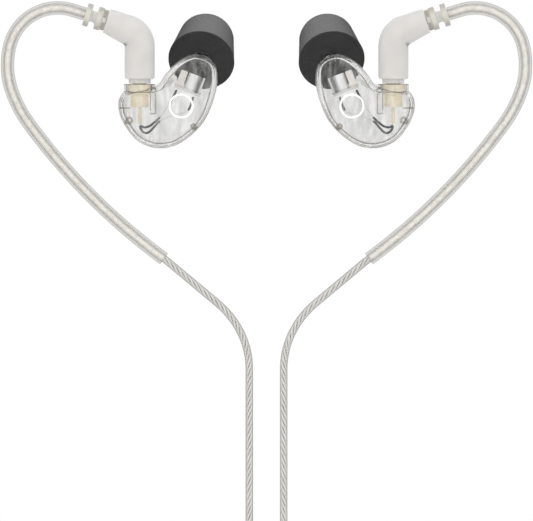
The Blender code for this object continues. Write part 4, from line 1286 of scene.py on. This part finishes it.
def make_splitter(place):
    """Tapered block with the seam of its two moulded halves."""
    splitter = splitter_slab(1.0, SPLITTER_DEPTH)
    bmesh.ops.bevel(
        splitter, geom=splitter.edges[:], offset=SPLITTER_BEVEL, segments=6, profile=0.5, affect="EDGES"
    )
    floor, outside = SEAM_SHARES
    inside = splitter_slab(floor, 3 * SEAM_WIDTH)
    seam = boolean(splitter_slab(outside, SEAM_WIDTH), "DIFFERENCE", inside)
    splitter = boolean(
        splitter, "DIFFERENCE", seam, *strand_bores(SPLITTER_SOCKET_Z, CUT_BEYOND),
        disc(LEAD_BORE, -CUT_BEYOND, -SPLITTER_SOCKET_Z, sides=40),
    )
    add_piece("frosted_splitter", splitter, place, "frosted_boot", "root", "splitter")


def make_lead(place):
    top, end = LEAD_SPAN
    line = Line([Vector((0, 0, top)), Vector((0, 0, end))])
    add_cable("twisted_lead", line, 0.0, LEAD_RADIUS / CABLE_RADIUS, place, "main_lead", "root")
    foot, head = BOOT_SPAN
    wide, narrow = BOOT_RADII
    pitch = (head - foot) / BOOT_RIBS
    profile = [(LEAD_BORE, foot)]
    for k in range(BOOT_RIBS):
        radius = wide + (narrow - wide) * k / (BOOT_RIBS - 1)
        base = foot + pitch * k
        rib_top = base + pitch * BOOT_RIB_SHARE
        profile += [(radius, base), (radius, rib_top)]
        if k < BOOT_RIBS - 1:
            profile += [(radius - BOOT_GROOVE, rib_top), (radius - BOOT_GROOVE, base + pitch)]
    profile.append((LEAD_BORE, profile[-1][1]))
    add_piece("ribbed_boot", turned_part(profile, 0.16, 72), place, "relief_rubber", "root", "plug_boot")


def make_plug(place):
    """Right-angle 3.5 mm plug: housing, sleeve, ring and tip round insulating bands."""
    half = HOUSING_LENGTH / 2
    shaft = Vector((1, 0, 0))
    profile = ((0, -half), (HOUSING_RADIUS, -half), (HOUSING_RADIUS, half), (0, half))
    housing = turned(rounded(profile, HOUSING_EDGE, steps=6), 96)
    inner, outer = HOUSING_RADIUS - HOUSING_GRIP_DEPTH, HOUSING_RADIUS + 1
    grips = [
        annulus(inner, outer, along - HOUSING_GRIP_HALF, along + HOUSING_GRIP_HALF, sides=96)
        for along in HOUSING_GRIPS
    ]
    socket = disc(JACK_PIN_RADIUS + FIT_GAP, half - PLUG_SOCKET_DEPTH, half + 1, sides=48)
    housing = moved(boolean(housing, "DIFFERENCE", *grips, socket), axis=shaft)
    housing = boolean(housing, "UNION", disc(HOUSING_NECK_RADIUS, 0, HOUSING_NECK_HEIGHT, 0.2))
    lead_low = LEAD_SPAN[1] - 2 * FIT_GAP - HOUSING_Z
    lead = disc(LEAD_BORE, lead_low, HOUSING_NECK_HEIGHT + 1, sides=40)
    housing = moved(boolean(housing, "DIFFERENCE", lead), (0, 0, HOUSING_Z))
    add_piece("frosted_housing", housing, place, "frosted_boot", "root", "plug_housing")
    for name, look, node_name, edge, profile in PLUG:
        shaft_part = moved(turned_part(profile, edge, 72), (half, 0, HOUSING_Z), shaft)
        add_piece(name, shaft_part, place, look, "root", node_name)


# ---------------------------------------------------------------- studio

def floor_paint(tree, shader):
    feed(tree, shader, Base_Color=mottled(tree, grain(tree, 40.0, 2.0), 0.9, 0.93), Roughness=0.9)


def make_floor(low):
    bm = bmesh.new()
    bmesh.ops.create_circle(bm, cap_ends=True, segments=96, radius=FLOOR_RADIUS)
    floor = new_object("studio_floor", to_mesh(bm, "studio_floor"))
    floor.location.z = low - FLOOR_DROP
    floor.data.materials.append(new_material("floor", floor_paint))


def make_world():
    """White backdrop and a soft studio round the camera; clear plastic sees darker sides in it."""
    world = bpy.data.worlds.new("studio")
    bpy.context.scene.world = world
    world.use_nodes = True
    tree = world.node_tree
    background = tree.nodes["Background"]
    around = node(tree, "ShaderNodeTexCoord").outputs["Camera"]
    split = node(tree, "ShaderNodeSeparateXYZ", {0: around}).outputs
    path = node(tree, "ShaderNodeLightPath").outputs

    def band(value, low, high, start, end):
        made = node(
            tree, "ShaderNodeMapRange", {0: value, 1: low, 2: high, 3: start, 4: end},
            interpolation_type="SMOOTHSTEP",
        )
        return made.outputs[0]

    soft = maths(
        tree, "ADD", band(split[1], -1.0, 1.0, 0.66, 0.98), band(split[2], -1.0, 1.0, 0.2, -0.08)
    )
    ahead = band(split[2], 0.35, 0.85, 0.0, 1.0)
    above = band(split[1], 0.45, 0.8, 0.0, 0.4)
    lamp = maths(
        tree, "MULTIPLY", band(split[2], -0.2, -0.75, 0.0, 1.0), band(split[1], 0.05, 0.4, 0.0, 0.9)
    )
    shiny = maths(tree, "ADD", 0.38, maths(tree, "MULTIPLY", ahead, 0.62))
    shiny = maths(tree, "ADD", shiny, maths(tree, "ADD", above, lamp))
    scattered = maths(tree, "MINIMUM", path["Diffuse Depth"], 1.0)
    seen = node(tree, "ShaderNodeMix", {0: scattered, 2: shiny, 3: soft}).outputs[0]
    strength = node(tree, "ShaderNodeMix", {0: path["Is Camera Ray"], 2: seen, 3: 1.0}).outputs[0]
    background.inputs["Color"].default_value = (1, 1, 1, 1)
    world.cycles.sampling_method = "NONE"
    tree.links.new(strength, background.inputs["Strength"])


def make_camera(low, high):
    width = (high.x - low.x) * VIEW_MARGIN
    centre = Vector((0, MOUTH_Y, high.z + VIEW_TOP_MARGIN - width * PICTURE_ASPECT / 2))
    data = bpy.data.cameras.new("camera")
    data.sensor_width = SENSOR_WIDTH
    data.lens = SENSOR_WIDTH * VIEW_DISTANCE / width
    data.clip_end = 4 * VIEW_DISTANCE
    camera = new_object("camera", data)
    camera.location = centre - DEPTH * VIEW_DISTANCE
    camera.rotation_euler = (pi / 2, 0, 0)
    bpy.context.scene.camera = camera


# ---------------------------------------------------------------- build

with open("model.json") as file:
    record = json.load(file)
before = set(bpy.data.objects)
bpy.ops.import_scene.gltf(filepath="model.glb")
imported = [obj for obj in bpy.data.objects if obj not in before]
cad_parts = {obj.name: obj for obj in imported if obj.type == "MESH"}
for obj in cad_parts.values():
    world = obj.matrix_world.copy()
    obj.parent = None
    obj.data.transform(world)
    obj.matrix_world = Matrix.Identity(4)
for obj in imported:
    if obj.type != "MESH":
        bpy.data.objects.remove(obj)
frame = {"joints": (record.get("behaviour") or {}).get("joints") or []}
cad_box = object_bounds()
JOINTS = {joint["name"]: joint for joint in frame["joints"]}
LOOKS = make_looks()
tip_pull = Vector(JOINTS["right_tip_pull"]["axis"]).normalized()
TIP_AXIS = tip_pull if tip_pull.y > 0 else -tip_pull
MOUTH_Y = JOINTS["right_swivel"]["pos_m"][1]

for name, sign in (("right", 1), ("left", -1)):
    mouth = Vector(JOINTS[name + "_swivel"]["pos_m"])
    place = Matrix.Translation(mouth) @ Matrix.Diagonal((sign * MM, MM, MM, 1))
    make_side(Side(name, place))
centre = Matrix.Translation((0, MOUTH_Y, 0)) @ Matrix.Diagonal((MM, MM, MM, 1))
make_slider(centre)
make_splitter(centre)
make_lead(centre)
make_plug(centre)
make_floor(cad_box[0].z)
make_world()
make_camera(*cad_box)
bpy.context.scene.view_settings.view_transform = "Standard"
